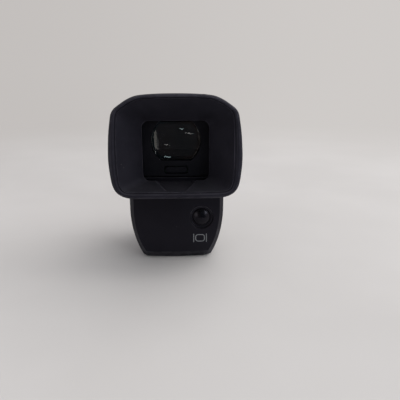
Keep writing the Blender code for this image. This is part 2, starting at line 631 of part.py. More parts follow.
def make_base_housing(material):
    housing = along_x("housing", base_side(CHEEK_RADIUS), -HALF_BODY, HALF_BODY)

    def is_outside(edge):
        start, end = (vert.co for vert in edge.verts)
        on_joint_face = max(start.y, end.y) < HOUSING_REAR + GAP
        across = abs(start.x - end.x) > GAP
        under_cheek = across and min(start.z, end.z) > BASE_BOTTOM + GAP
        return not on_joint_face and not under_cheek

    keep(housing, along_y("outline", drop_outline(0, HINGE_Z + POCKET_RADIUS),
                          HOUSING_REAR - OVERRUN, BASE_FRONT + OVERRUN))
    round_edges(housing, BASE_EDGE, is_outside)
    inside = HALF_BODY - CHEEK_THICKNESS
    channel = box("channel", (-inside, inside),
                  (HOUSING_REAR - OVERRUN, BASE_FRONT + OVERRUN),
                  (BASE_TOP, HINGE_Z + POCKET_RADIUS))
    upper_room = box("upper_room", (-HALF_BODY + WALL, HALF_BODY - WALL),
                     (HOUSING_REAR - OVERRUN, BASE_FRONT - WALL), (BASE_FLOOR, BASE_CEILING))
    lower_room = along_y("lower_room", drop_outline(WALL, BASE_FLOOR + WALL),
                         HOUSING_REAR - OVERRUN, DROP_FRONT - WALL)
    cut(housing, channel)
    cut(housing, upper_room)
    cut(housing, lower_room)
    bosses = [rod("boss", BOSS_RADIUS, (x, y, 0), "Z", BASE_FLOOR - WALL / 2,
                  FOOT_SCREW_LENGTH + WALL) for x, y in foot_screw_places()]
    for boss in bosses:
        join(housing, boss)
    holes = [rod("hole", SCREW_HOLE, (x, y, 0), "Z", BASE_BOTTOM - OVERRUN,
                 FOOT_SCREW_LENGTH + GAP) for x, y in foot_screw_places()]
    pin_way = rod("pin_way", LOCK_PIN_RADIUS + GAP, (0, LOCK_PIN_FRONT, 0), "Z",
                  BASE_BOTTOM - OVERRUN, BASE_FLOOR + OVERRUN)
    knob_y = LOCK_KNOB_FRONT
    reach = LOCK_KNOB_LENGTH / 2 + GAP
    knob_low, knob_high = knob_heights()
    knob_slot = box("knob_slot", (-HALF_BODY - OVERRUN, -HALF_BODY + WALL + OVERRUN),
                    (knob_y - reach, knob_y + reach + LOCK_TRAVEL),
                    (knob_low - GAP, knob_high + GAP))
    plug_way = along_y("plug_way", rounded_box(PLUG_WIDTH + 2 * GAP, PLUG_HEIGHT + 2 * GAP,
                                               PLUG_CORNER + GAP, PLUG_Z, ARC_STEPS // 2),
                       DROP_FRONT - WALL - OVERRUN, DROP_FRONT + OVERRUN)
    cut(housing, *holes, pin_way, knob_slot, plug_way)
    panel_holes = [screw_hole((side * PANEL_SCREW_X, DROP_FRONT, -PANEL_SCREW_DROP), "Y", -1,
                              WALL + OVERRUN) for side in (-1, 1)]
    cut(housing, *panel_holes)
    recess = CAP_THICKNESS + GAP + BUSH_FLANGE
    for side in (-1, 1):
        bore = rod("bore", BUSH_RADIUS + BUSH_FIT, (0, HINGE_Y, HINGE_Z), "X",
                   *sorted((side * (inside - OVERRUN), side * (HALF_BODY + OVERRUN))))
        cap_seat = rod("cap_seat", CAP_RADIUS + GAP, (0, HINGE_Y, HINGE_Z), "X",
                       *sorted((side * (HALF_BODY - recess), side * (HALF_BODY + OVERRUN))),
                       steps=FINE_STEPS)
        cut(housing, bore, cap_seat)
    outer = -HALF_BODY + FLEX_CHANNEL_WALL
    channel_for_flex = box("flex_way", (outer, outer + FLEX_CHANNEL),
                           (HINGE_Y - FLEX_CHANNEL_WIDTH / 2, HINGE_Y + FLEX_CHANNEL_WIDTH / 2),
                           (BASE_CEILING - OVERRUN, HINGE_Z - CAP_RADIUS + OVERRUN))
    side_room = box("side_room", (outer, -HALF_BODY + WALL + OVERRUN),
                    (HINGE_Y - FLEX_CHANNEL_WIDTH / 2, HINGE_Y + FLEX_CHANNEL_WIDTH / 2),
                    (BASE_CEILING - 2 * OVERRUN, BASE_CEILING))
    cut(housing, channel_for_flex)
    cut(housing, side_room)
    return finish(housing, "base_housing", material)


def knob_heights():
    middle = (BASE_FLOOR + BASE_CEILING) / 2
    return middle - LOCK_KNOB_HEIGHT / 2, middle + LOCK_KNOB_HEIGHT / 2


def make_rear_panel(material):
    rings = []
    for y, inset in ((PANEL_BACK, 0), (PANEL_FACE + PANEL_CHAMFER / 2, 0),
                     (PANEL_FACE + PANEL_CHAMFER / 6, PANEL_CHAMFER / 2),
                     (PANEL_FACE, PANEL_CHAMFER)):
        outline = drop_outline(inset, BASE_TOP - inset)
        rings.append([Vector((x, y, z)) for x, z in outline])
    panel = loft("panel", rings)
    recess = turned("recess", [(0, -OVERRUN), (BUTTON_RECESS_RADIUS, -OVERRUN),
                               (BUTTON_RECESS_RADIUS - GAP, BUTTON_RECESS_DEPTH),
                               (0, BUTTON_RECESS_DEPTH)],
                    (BUTTON_X, PANEL_FACE, BUTTON_Z), "Y", FINE_STEPS)
    hole = rod("hole", BUTTON_RADIUS + GAP, (BUTTON_X, PANEL_FACE, BUTTON_Z), "Y",
               0, PANEL_THICKNESS + OVERRUN, FINE_STEPS)
    cut(panel, recess)
    cut(panel, hole)
    for side in (-1, 1):
        start = (side * PANEL_SCREW_X, PANEL_BACK, -PANEL_SCREW_DROP)
        length = DROP_FRONT - WALL - GAP - PANEL_BACK
        join(panel, rod("pillar", BOSS_RADIUS, start, "Y", -PANEL_THICKNESS / 4, length))
        cut(panel, rod("pilot", SCREW_HOLE, start, "Y", GAP, length + OVERRUN))
    return finish(panel, "rear_panel", material)


def make_display_button(material):
    """Round button: a dome outside, a flange behind the panel and a short stem."""
    top = PANEL_FACE - BUTTON_STAND
    dome = []
    for step in range(ARC_STEPS // 2 + 1):
        angle = math.radians(90 * step / (ARC_STEPS // 2))
        dome.append((BUTTON_RADIUS * math.sin(angle), BUTTON_DOME * (1 - math.cos(angle))))
    flange_start = PANEL_BACK + GAP - top
    flange_end = flange_start + BUTTON_FLANGE
    stem_end = SIDE_BOARD_FACE - SWITCH_THICKNESS - GAP - top
    wide = BUTTON_RADIUS + 2 * GAP
    profile = dome + [(BUTTON_RADIUS, flange_start), (wide, flange_start), (wide, flange_end),
                      (BUTTON_STEM_RADIUS, flange_end), (BUTTON_STEM_RADIUS, stem_end),
                      (0, stem_end)]
    made = turned("button", profile, (BUTTON_X, top, BUTTON_Z), "Y", FINE_STEPS)
    return finish(made, "display_button", material)


def make_side_board(material):
    board = box("board", (-SIDE_BOARD_WIDTH / 2, SIDE_BOARD_WIDTH / 2),
                (SIDE_BOARD_FACE, SIDE_BOARD_FACE + BOARD_THICKNESS),
                (-SIDE_BOARD_LOW, SIDE_BOARD_HIGH))
    for side in (-1, 1):
        start = (side * PANEL_SCREW_X, SIDE_BOARD_FACE, -PANEL_SCREW_DROP)
        cut(board, rod("way", BOSS_RADIUS + GAP, start, "Y", -OVERRUN,
                       BOARD_THICKNESS + OVERRUN))
    return finish(board, "control_board", material)


def make_button_switch(material):
    half = SWITCH_SIZE / 2
    body = box("switch", (BUTTON_X - half, BUTTON_X + half),
               (SIDE_BOARD_FACE - SWITCH_THICKNESS, SIDE_BOARD_FACE - GAP),
               (BUTTON_Z - half, BUTTON_Z + half))
    dish = turned("dish", [(0, -GAP), (BUTTON_STEM_RADIUS + GAP, -GAP),
                           (BUTTON_STEM_RADIUS + GAP, BUTTON_TRAVEL), (0, BUTTON_TRAVEL)],
                  (BUTTON_X, SIDE_BOARD_FACE - SWITCH_THICKNESS, BUTTON_Z), "Y")
    cut(body, dish)
    return finish(body, "button_switch", material)


def make_plug_shell(material):
    start = DROP_FRONT - WALL - 2 * GAP
    end = DROP_FRONT + PLUG_REACH
    steps = ARC_STEPS // 2
    shell = along_y("shell", rounded_box(PLUG_WIDTH, PLUG_HEIGHT, PLUG_CORNER, PLUG_Z, steps),
                    start, end)
    room = along_y("room", rounded_box(PLUG_WIDTH - 2 * PLUG_SHEET, PLUG_HEIGHT - 2 * PLUG_SHEET,
                                       PLUG_CORNER - PLUG_SHEET, PLUG_Z, steps),
                   start - OVERRUN, end + OVERRUN)
    cut(shell, room)
    return finish(shell, "plug_shell", material)


def make_plug_insert(material):
    start = DROP_FRONT - WALL - 2 * GAP
    end = DROP_FRONT + PLUG_REACH - TONGUE_SETBACK
    width = PLUG_WIDTH / 2 - PLUG_SHEET - GAP
    height = PLUG_HEIGHT / 2 - PLUG_SHEET - GAP
    block = box("block", (-width, width), (start, start + TONGUE_BODY),
                (PLUG_Z - height, PLUG_Z + height))
    tongue = box("tongue", (-width + GAP, width - GAP), (start + TONGUE_BODY / 2, end),
                 (PLUG_Z - TONGUE_HEIGHT / 2, PLUG_Z + TONGUE_HEIGHT / 2))
    join(block, tongue)
    return finish(block, "plug_insert", material)


def make_plug_contacts(material):
    """Contact fingers above the tongue, held by one strip at their rear."""
    start = DROP_FRONT - WALL - 2 * GAP + TONGUE_BODY + GAP
    end = DROP_FRONT + PLUG_REACH - TONGUE_SETBACK - GAP
    low = PLUG_Z + TONGUE_HEIGHT / 2 + GAP
    half = CONTACT_PITCH * (CONTACTS - 1) / 2
    back = start + CONTACT_WIDTH
    points = [(-half - CONTACT_WIDTH, start), (half + CONTACT_WIDTH, start),
              (half + CONTACT_WIDTH, back)]
    for number in reversed(range(CONTACTS)):
        middle = -half + number * CONTACT_PITCH
        points += [(middle + CONTACT_WIDTH / 2, back), (middle + CONTACT_WIDTH / 2, end),
                   (middle - CONTACT_WIDTH / 2, end), (middle - CONTACT_WIDTH / 2, back)]
    points.append((-half - CONTACT_WIDTH, back))
    strip = along_z("contacts", points, low, low + CONTACT_THICKNESS)
    return finish(strip, "plug_contacts", material)


def make_lock_slider(material):
    """Knob on the left side, a bar across the base and a ramp above the lock pin."""
    knob_low, knob_high = knob_heights()
    knob_y = LOCK_KNOB_FRONT
    outside = -HALF_BODY - LOCK_KNOB_STAND
    plate_x = -HALF_BODY + WALL + GAP
    reach = LOCK_KNOB_LENGTH / 2
    bar_top = BASE_CEILING - GAP
    bar_low = bar_top - LOCK_BAR_HEIGHT
    knob = box("knob", (outside, plate_x + LOCK_PLATE), (knob_y - reach, knob_y + reach),
               (knob_low, knob_high))

    def is_outer(edge):
        start, end = (vert.co for vert in edge.verts)
        return max(start.x, end.x) < outside + GAP

    round_edges(knob, GAP, is_outer)
    plate = box("plate", (plate_x, plate_x + LOCK_PLATE),
                (knob_y - reach - LOCK_PLATE, knob_y + reach + LOCK_PLATE),
                (knob_low - LOCK_PLATE, bar_top))
    bar = box("bar", (plate_x + LOCK_PLATE / 2, LOCK_RAMP_WIDTH / 2),
              (knob_y - LOCK_BAR_WIDTH / 2, knob_y + LOCK_BAR_WIDTH / 2), (bar_low, bar_top))
    head_top = LOCK_PIN_RECESS + LOCK_PIN_LENGTH
    rear = LOCK_PIN_FRONT - LOCK_TRAVEL - LOCK_HEAD_RADIUS - GAP
    front = LOCK_PIN_FRONT + LOCK_HEAD_RADIUS + GAP
    at_pin = head_top + GAP
    ramp_points = [(rear, at_pin + (rear - LOCK_PIN_FRONT) * LOCK_SLOPE),
                   (front, at_pin + (front - LOCK_PIN_FRONT) * LOCK_SLOPE),
                   (front, bar_top - GAP / 2), (rear, bar_top - GAP / 2)]
    ramp = along_x("ramp", ramp_points, -LOCK_RAMP_WIDTH / 2, LOCK_RAMP_WIDTH / 2 - GAP / 2)
    join(knob, plate)
    join(knob, bar)
    join(knob, ramp)
    return finish(knob, "lock_slider", material)


def make_lock_pin(material):
    """Pin with a cone shaped head that follows the slope of the ramp."""
    low = LOCK_PIN_RECESS
    top = low + LOCK_PIN_LENGTH
    head_low = top - LOCK_HEAD_HEIGHT
    rise = LOCK_HEAD_RADIUS * LOCK_SLOPE
    profile = [(0, low), (LOCK_PIN_RADIUS - GAP / 2, low), (LOCK_PIN_RADIUS, low + GAP),
               (LOCK_PIN_RADIUS, head_low - GAP), (LOCK_HEAD_RADIUS, head_low - GAP),
               (LOCK_HEAD_RADIUS, top - rise), (0, top)]
    made = turned("pin", profile, (0, LOCK_PIN_FRONT, 0), "Z")
    return finish(made, "lock_pin", material)


def make_lock_spring(material):
    """Coil between the floor of the base and the head of the pin."""
    low = BASE_FLOOR + SPRING_WIRE + GAP / 2
    high = LOCK_PIN_RECESS + LOCK_PIN_LENGTH - LOCK_HEAD_HEIGHT - GAP - SPRING_WIRE - GAP / 2
    count = SPRING_TURNS * SPRING_STEPS
    curve = bpy.data.curves.new("spring", "CURVE")
    curve.dimensions = "3D"
    line = curve.splines.new("POLY")
    line.points.add(count)
    for step in range(count + 1):
        angle = 2 * math.pi * step / SPRING_STEPS
        line.points[step].co = (SPRING_RADIUS * math.cos(angle),
                                LOCK_PIN_FRONT + SPRING_RADIUS * math.sin(angle),
                                low + (high - low) * step / count, 1)
    curve.bevel_depth = SPRING_WIRE
    curve.bevel_resolution = 1
    curve.use_fill_caps = True
    shape = bpy.data.objects.new("spring", curve)
    bpy.context.scene.collection.objects.link(shape)
    bpy.context.view_layer.update()
    ready = shape.evaluated_get(bpy.context.evaluated_depsgraph_get())
    mesh = bpy.data.meshes.new_from_object(ready)
    bpy.data.objects.remove(shape, do_unlink=True)
    made = bpy.data.objects.new("spring", mesh)
    bpy.context.scene.collection.objects.link(made)
    solid = bmesh.new()
    solid.from_mesh(mesh)
    bmesh.ops.remove_doubles(solid, verts=solid.verts, dist=MERGE)
    bmesh.ops.recalc_face_normals(solid, faces=solid.faces)
    solid.to_mesh(mesh)
    solid.free()
    return finish(made, "lock_spring", material)


def flex_strip(name, path, width, axis_point, material):
    """Thin strip along a path of (x, z) points, its width lying along Y."""
    half = FLEX_THICKNESS / 2
    left = []
    right = []
    for number, point in enumerate(path):
        before = Vector(path[max(number - 1, 0)])
        after = Vector(path[min(number + 1, len(path) - 1)])
        here = Vector(point)
        directions = [step.normalized() for step in (here - before, after - here)
                      if step.length > 0]
        ahead = sum(directions, Vector((0, 0))).normalized()
        across = Vector((-ahead.y, ahead.x))
        spread = half / max(across.dot(Vector((-directions[0].y, directions[0].x))), 0.5)
        left.append(tuple(here + across * spread))
        right.append(tuple(here - across * spread))
    outline = left + list(reversed(right))
    strip = along_y(name, outline, axis_point - width / 2, axis_point + width / 2)
    return finish(strip, name, material)


def make_base_flex(material):
    """Flexible circuit from the base, up inside the left cheek and through the bush."""
    channel = -HALF_BODY + FLEX_CHANNEL_WALL + FLEX_CHANNEL / 2
    low = BASE_CEILING - OVERRUN
    bush_end = bush_tail_x()
    path = [(-HALF_BODY + WALL + FLEX_START, low), (channel, low), (channel, HINGE_Z),
            (-bush_end + GAP, HINGE_Z)]
    return flex_strip("base_flex", path, FLEX_WIDTH, HINGE_Y, material)


def bush_tail_x():
    """Distance from the middle plane to the inner end of a hinge bush."""
    return (NARROW_INSIDE - GAP - WASHER_THICKNESS - GAP - CLIP_THICKNESS - BUSH_TAIL)


def make_hinge_side(side, materials):
    """Cap, bush, washer and clip of one side. The side is -1 on the left."""
    word = "left" if side < 0 else "right"
    centre = (0, HINGE_Y, HINGE_Z)
    cap_in = side * (HALF_BODY - CAP_THICKNESS)
    cap_edge = side * (HALF_BODY - CAP_THICKNESS / 3)
    cap_out = side * HALF_BODY
    cap = turned("cap", [(0, cap_in), (CAP_RADIUS, cap_in), (CAP_RADIUS, cap_edge),
                         (CAP_RADIUS - CAP_THICKNESS / 3, cap_out), (0, cap_out)],
                 centre, "X", FINE_STEPS)
    flange_out = side * (HALF_BODY - CAP_THICKNESS - GAP)
    flange_in = flange_out - side * (BUSH_FLANGE - GAP)
    tail = side * bush_tail_x()
    bush = turned("bush", [(BUSH_BORE, flange_out), (BUSH_FLANGE_RADIUS, flange_out),
                           (BUSH_FLANGE_RADIUS, flange_in), (BUSH_RADIUS, flange_in),
                           (BUSH_RADIUS, tail), (BUSH_BORE, tail)], centre, "X")
    washer_out = side * (NARROW_INSIDE - GAP)
    washer_in = washer_out - side * WASHER_THICKNESS
    washer = turned("washer", [(BUSH_RADIUS + GAP, washer_out), (WASHER_RADIUS, washer_out),
                               (WASHER_RADIUS, washer_in), (BUSH_RADIUS + GAP, washer_in)],
                    centre, "X")
    clip_out = washer_in - side * GAP
    clip_in = clip_out - side * CLIP_THICKNESS
    clip = turned("clip", [(BUSH_RADIUS + BUSH_FIT, clip_out), (CLIP_RADIUS, clip_out),
                           (CLIP_RADIUS, clip_in), (BUSH_RADIUS + BUSH_FIT, clip_in)],
                  centre, "X")
    cut(clip, box("mouth", tuple(sorted((clip_out + side * OVERRUN, clip_in - side * OVERRUN))),
                  (HINGE_Y - CLIP_SLOT_WIDTH / 2, HINGE_Y + CLIP_SLOT_WIDTH / 2),
                  (HINGE_Z - CLIP_RADIUS - OVERRUN, HINGE_Z)))
    finish(cap, "hinge_cap_" + word, materials["shell"])
    finish(bush, "hinge_bush_" + word, materials["steel"])
    finish(washer, "hinge_washer_" + word, materials["steel"])
    finish(clip, "hinge_clip_" + word, materials["steel"])


def tube_side(inset, rear):
    """Side view of the tube, with its round lower front that clears the base."""
    top = HINGE_Z + TUBE_HEIGHT / 2 - inset
    bottom = HINGE_Z - TUBE_HEIGHT / 2 + inset
    front = TUBE_FRONT - inset
    low_radius = HINGE_REACH - inset
    top_radius = FRONT_TOP_RADIUS - inset
    points = [(rear, top), (rear, bottom)]
    points += arc((front - low_radius, bottom + low_radius), low_radius, -90, 0, ARC_STEPS)
    points += arc((front - top_radius, top - top_radius), top_radius, 0, 90, ARC_STEPS // 2)
    return points


def tube_block(name, inset, rear):
    half = HALF_BODY - inset
    block = along_x(name, tube_side(inset, rear), -half - OVERRUN, half + OVERRUN)
    section = rounded_box(BODY_WIDTH - 2 * inset, TUBE_HEIGHT - 2 * inset,
                          TUBE_CORNER - inset, HINGE_Z)
    keep(block, along_y("section", section, rear - OVERRUN, TUBE_FRONT + OVERRUN))
    return block


def pocket(side, grow):
    """Space for a cheek, and for the cheek's path when the tube tilts."""
    radius = POCKET_RADIUS + grow
    low = HINGE_Z - TUBE_HEIGHT
    front = TUBE_FRONT + OVERRUN
    points = [(HINGE_Y - radius, low)]
    points += arc((HINGE_Y, HINGE_Z), radius, 180, 90, ARC_STEPS * 2)
    points += [(front, HINGE_Z + radius), (front, low)]
    inner = NARROW_HALF - grow
    spans = sorted((side * inner, side * (HALF_BODY + 2 * OVERRUN)))
    return along_x("pocket", points, *spans)


def make_tube(materials):
    """Upper shell, lower shell and front cover, cut from one hollow tube."""
    tube = tube_block("tube", 0, TUBE_END)
    cut(tube, pocket(-1, 0), pocket(1, 0))
    room = tube_block("room", WALL, TUBE_END - OVERRUN)
    cut(room, pocket(-1, WALL), pocket(1, WALL))
    cut(tube, room)
    dial_pad = rod("pad", DIAL_RADIUS + GAP + WALL, (0, DIAL_Y, DIAL_Z), "X",
                   HALF_BODY - DIAL_RECESS - WALL, HALF_BODY - WALL / 2, FINE_STEPS)
    join(tube, dial_pad)
    dial_seat = rod("seat", DIAL_RADIUS + GAP, (0, DIAL_Y, DIAL_Z), "X",
                    HALF_BODY - DIAL_RECESS, HALF_BODY + OVERRUN, FINE_STEPS)
    dial_bore = rod("bore", DIAL_SHAFT_RADIUS + BUSH_FIT, (0, DIAL_Y, DIAL_Z), "X",
                    HALF_BODY - DIAL_RECESS - 2 * WALL, HALF_BODY + OVERRUN)
    cut(tube, dial_seat)
    cut(tube, dial_bore)
    for side in (-1, 1):
        spans = sorted((side * (NARROW_INSIDE - OVERRUN), side * (HALF_BODY + OVERRUN)))
        cut(tube, rod("hinge_bore", BUSH_RADIUS + BUSH_FIT, (0, HINGE_Y, HINGE_Z), "X", *spans))
    bottom = HINGE_Z - TUBE_HEIGHT / 2
    boss_top = SEAM_Z + TUBE_SCREW_BITE
    head_z = bottom + TUBE_SCREW_SINK
    head_wall = SCREW_HEAD_RADIUS + GAP + BOSS_WALL
    for x, y in tube_screw_places():
        boss = turned("boss", [(0, bottom + WALL / 2), (head_wall, bottom + WALL / 2),
                               (head_wall, head_z + GAP), (BOSS_RADIUS, head_z + BOSS_WALL),
                               (BOSS_RADIUS, boss_top), (0, boss_top)], (x, y, 0), "Z")
        join(tube, boss)
        cut(tube, screw_hole((x, y, head_z), "Z", 1, boss_top - head_z - WALL / 2))
        sink = rod("sink", SCREW_HEAD_RADIUS + GAP, (x, y, 0), "Z", bottom - OVERRUN,
                   head_z - GAP)
        cut(tube, sink)
    outside = HALF_BODY + 2 * OVERRUN
    ceiling = HINGE_Z + TUBE_HEIGHT
    floor = HINGE_Z - TUBE_HEIGHT
    upper = copy_of(tube, "upper")
    lower = copy_of(tube, "lower")
    cover = tube
    shell_front = COVER_REAR - GAP
    keep(upper, box("region", (-outside, outside), (TUBE_END - OVERRUN, shell_front),
                    (SEAM_Z + GAP / 2, ceiling)))
    keep(lower, box("region", (-outside, outside), (TUBE_END - OVERRUN, shell_front),
                    (floor, SEAM_Z - GAP / 2)))
    keep(cover, box("region", (-outside, outside), (COVER_REAR, TUBE_FRONT + OVERRUN),
                    (floor, ceiling)))
    finish(upper, "tube_upper_shell", materials["shell"])
    finish(lower, "tube_lower_shell", materials["shell"])
    finish(cover, "front_cover", materials["shell"])
    return upper, lower, cover


def collar_outline(grow, steps=ARC_STEPS // 2):
    return rounded_box(COLLAR_WIDTH + 2 * grow, COLLAR_HEIGHT + 2 * grow,
                       COLLAR_CORNER + grow, COLLAR_Z, steps)


def below_legs(rear, front):
    """Cutter that leaves the collar open at its bottom, under the opening of the eyecup."""
    return box("below_legs", (-COLLAR_WIDTH, COLLAR_WIDTH), (rear, front),
               (HINGE_Z - TUBE_HEIGHT, HINGE_Z - COLLAR_LOW + COLLAR_CORNER + COLLAR_LEG_END))


def make_eyepiece_frame(material):
    """Plate in the end of the tube with a collar that carries the eyecup."""
    plate = along_y("plate", rounded_box(BODY_WIDTH - 2 * (WALL + GAP),
                                         TUBE_HEIGHT - 2 * (WALL + GAP),
                                         TUBE_CORNER - WALL - GAP, HINGE_Z),
                    PLATE_REAR, PLATE_FRONT)
    collar = along_y("collar", collar_outline(0), COLLAR_REAR, PLATE_FRONT - GAP)
    join(plate, collar)
    mouth = along_y("mouth", collar_outline(-COLLAR_WALL), COLLAR_REAR - OVERRUN, PLATE_REAR)
    cut(plate, mouth)
    cut(plate, below_legs(COLLAR_REAR - OVERRUN, PLATE_REAR))
    window = along_y("window", cut_circle(LENS_RADIUS, LENS_HALF_HEIGHT, LENS_Z),
                     PLATE_REAR - OVERRUN, PLATE_FRONT + OVERRUN)
    eye = along_y("eye", rounded_box(SENSOR_WIDTH, SENSOR_HEIGHT, SENSOR_HEIGHT / 4, SENSOR_Z,
                                     ARC_STEPS // 2),
                  PLATE_REAR - OVERRUN, PLATE_FRONT + OVERRUN)
    cut(plate, window)
    cut(plate, eye)
    return finish(plate, "eyepiece_frame", material)


def make_eyepiece_lens(material):
    """Round lens cut flat above and below, its face bulging into the frame's window."""
    radius = LENS_RADIUS + LENS_LIP
    clear = LENS_RADIUS - GAP
    seat = PLATE_FRONT + GAP
    face = [(0, PLATE_REAR + GAP - seat)]
    depth = seat - PLATE_REAR - GAP
    count = ARC_STEPS // 2
    for step in range(1, count + 1):
        share = step / count
        face.append((clear * share, -depth + LENS_BULGE * share * share))
    profile = face + [(clear, 0), (radius, 0), (radius, LENS_BODY), (0, LENS_BODY + LENS_BULGE / 2)]
    lens = turned("lens", profile, (0, seat, LENS_Z), "Y", FINE_STEPS)
    window_half = LENS_HALF_HEIGHT - GAP
    lip_half = LENS_HALF_HEIGHT + LENS_LIP
    wide = radius + OVERRUN
    front_part = box("front_part", (-wide, wide), (PLATE_REAR - OVERRUN, seat),
                     (LENS_Z - window_half, LENS_Z + window_half))
    back_part = box("back_part", (-wide, wide), (seat - GAP / 3, seat + 2 * LENS_BODY),
                    (LENS_Z - lip_half, LENS_Z + lip_half))
    join(front_part, back_part)
    keep(lens, front_part)
    return finish(lens, "eyepiece_lens", material)


def make_sensor_window(material):
    start = PLATE_REAR + GAP
    window = along_y("window", rounded_box(SENSOR_WIDTH - 2 * GAP, SENSOR_HEIGHT - 2 * GAP,
                                           SENSOR_HEIGHT / 4, SENSOR_Z, ARC_STEPS // 2),
                     start, start + SENSOR_THICKNESS)
    return finish(window, "sensor_window", material)


def make_sensor_board(materials):
    start = PLATE_FRONT + GAP
    half = SENSOR_WIDTH / 2 + WALL
    low = SENSOR_Z - SENSOR_HEIGHT / 2
    high = LENS_Z - LENS_HALF_HEIGHT - LENS_LIP - GAP
    board = box("board", (-half, half), (start, start + BOARD_THICKNESS), (low, high))
    return finish(board, "sensor_board", materials["board"])


def spread(points, count_share):
    """Smooth closed curve through points, with the same number of steps on each span."""
    total = len(points)
    curve = []
    for here in range(total):
        before, start, end, after = (Vector(points[(here + shift) % total])
                                     for shift in (-1, 0, 1, 2))
        for step in range(count_share):
            t = step / count_share
            a = 2 * start
            b = (end - before) * t
            c = (2 * before - 5 * start + 4 * end - after) * t * t
            d = (3 * start - before - 3 * end + after) * t * t * t
            curve.append(tuple((a + b + c + d) / 2))
    return curve


def radius_at(outline, direction):
    """Distance from the origin to a closed outline along a direction."""
    best = 0
    for start, end in zip(outline, outline[1:] + outline[:1]):
        along = Vector(end) - Vector(start)
        spot = direction.x * along.y - direction.y * along.x
        if spot == 0:
            continue
        first = Vector(start)
        distance = (first.x * along.y - first.y * along.x) / spot
        share = (first.x * direction.y - first.y * direction.x) / spot
        if distance > 0 and 0 <= share <= 1:
            best = max(best, distance)
    return best


def cup_angles():
    """Directions for the points of every outline of the eyecup, closer at the corners."""
    angles = []
    count = RIM_STEPS * 4
    for step in range(count):
        turn = 2 * math.pi * step / count
        angles.append(turn - math.sin(4 * turn) / 16)
    return angles


def rim_outline(half_width, half_height):
    right = [(x * half_width, z * half_height) for x, z in RIM_SHARES]
    left = [(-x, z) for x, z in reversed(right[1:-1])]
    return spread(right + left, 4)


def cup_ring(outline, middle_z, y):
    """One ring of the eyecup from an outline about its own middle."""
    ring = []
    for angle in cup_angles():
        direction = Vector((math.cos(angle), math.sin(angle)))
        length = radius_at(outline, direction)
        ring.append(Vector((direction.x * length, y, middle_z + direction.y * length)))
    return ring


def blend_rings(first, second, share, y):
    return [Vector((one.x + (two.x - one.x) * share, y, one.z + (two.z - one.z) * share))
            for one, two in zip(first, second)]


def make_eyecup(material):
    rim_y = -CUP_REAR
    half_width = CUP_WIDTH / 2
    half_height = CUP_HEIGHT / 2
    rim = rim_outline(half_width, half_height)
    lip_y = rim_y + CUP_LIP_ROUND
    outer = cup_ring(rim, CUP_Z, lip_y)
    crease_width = half_width - CUP_LIP_WIDTH
    crease_height = half_height - (CUP_LIP_TOP + CUP_LIP_BOTTOM) / 2
    crease_z = CUP_Z + (CUP_LIP_BOTTOM - CUP_LIP_TOP) / 2
    crease = cup_ring(rim_outline(crease_width, crease_height), crease_z, rim_y + CUP_LIP_GROOVE)
    skirt_width = BODY_WIDTH + 2 * CUP_SKIRT_SIDE
    skirt_height = TUBE_HEIGHT + CUP_SKIRT_LOW + CUP_SKIRT_HIGH
    skirt_z = HINGE_Z + (CUP_SKIRT_HIGH - CUP_SKIRT_LOW) / 2
    skirt = cup_ring(rounded_box(skirt_width, skirt_height, CUP_SKIRT_CORNER, 0),
                     skirt_z, CUP_FRONT)
    opening_low = HINGE_Z - TUBE_HALF + CUP_OPENING_LOW
    opening_high = LENS_Z + LENS_HALF_HEIGHT + CUP_OPENING_HIGH
    opening_height = opening_high - opening_low
    opening_z = (opening_high + opening_low) / 2
    opening_y = rim_y + CUP_OPENING_DEPTH
    opening_outline = rounded_box(CUP_OPENING_WIDTH, opening_height, CUP_OPENING_CORNER, 0)
    opening = cup_ring(opening_outline, opening_z, opening_y)
    inner = [Vector((point.x, opening_y + CUP_EDGE, point.z)) for point in opening]
    clip_gap = CUP_CLIP_WALL + 2 * GAP
    room_high = COLLAR_HIGH + clip_gap
    room_low = TUBE_HALF + CUP_ROOM_LOW
    room_outline = rounded_box(COLLAR_WIDTH + 2 * clip_gap, room_high + room_low,
                               COLLAR_CORNER + clip_gap, 0)
    room_z = HINGE_Z + (room_high - room_low) / 2
    room_deep = cup_ring(room_outline, room_z, opening_y + CUP_EDGE)
    room_mouth = cup_ring(room_outline, room_z, CUP_FRONT)
    rings = []
    length = CUP_FRONT - lip_y
    for along, flare in SKIRT_SHARES:
        rings.append(blend_rings(skirt, outer, flare, CUP_FRONT - length * along))
    rings.append(outer)
    quarter = ARC_STEPS // 2
    for step in range(1, quarter + 1):
        angle = math.radians(90 * step / quarter)
        rings.append(blend_rings(outer, crease, 0.5 * (1 - math.cos(angle)),
                                 lip_y - CUP_LIP_ROUND * math.sin(angle)))
    for step in range(1, quarter):
        angle = math.radians(90 * step / quarter)
        rings.append(blend_rings(outer, crease, 0.5 + 0.5 * math.sin(angle),
                                 rim_y + CUP_LIP_GROOVE * (1 - math.cos(angle))))
    rings.append(crease)
    rings += [opening, inner, room_deep, room_mouth]
    cup = loft("cup", rings, ring_shaped=True)
    floor_low = opening_z - opening_height / 2
    wide = CUP_NOTCH_WIDE / 2
    narrow = CUP_NOTCH_NARROW / 2
    near = rim_y + CUP_LIP_GROOVE + GAP
    far = opening_y + CUP_EDGE + OVERRUN
    deep = floor_low - CUP_NOTCH_DEPTH
    start_z = crease_z - crease_height
    near_ring = [Vector((-narrow, near, start_z)), Vector((narrow, near, start_z)),
                 Vector((narrow, near, HINGE_Z)), Vector((-narrow, near, HINGE_Z))]
    far_ring = [Vector((-wide + GAP, far, deep)), Vector((wide - GAP, far, deep)),
                Vector((wide, far, HINGE_Z)), Vector((-wide, far, HINGE_Z))]
    cut(cup, loft("notch", [near_ring, far_ring]))
    return finish(cup, "eyecup", material)


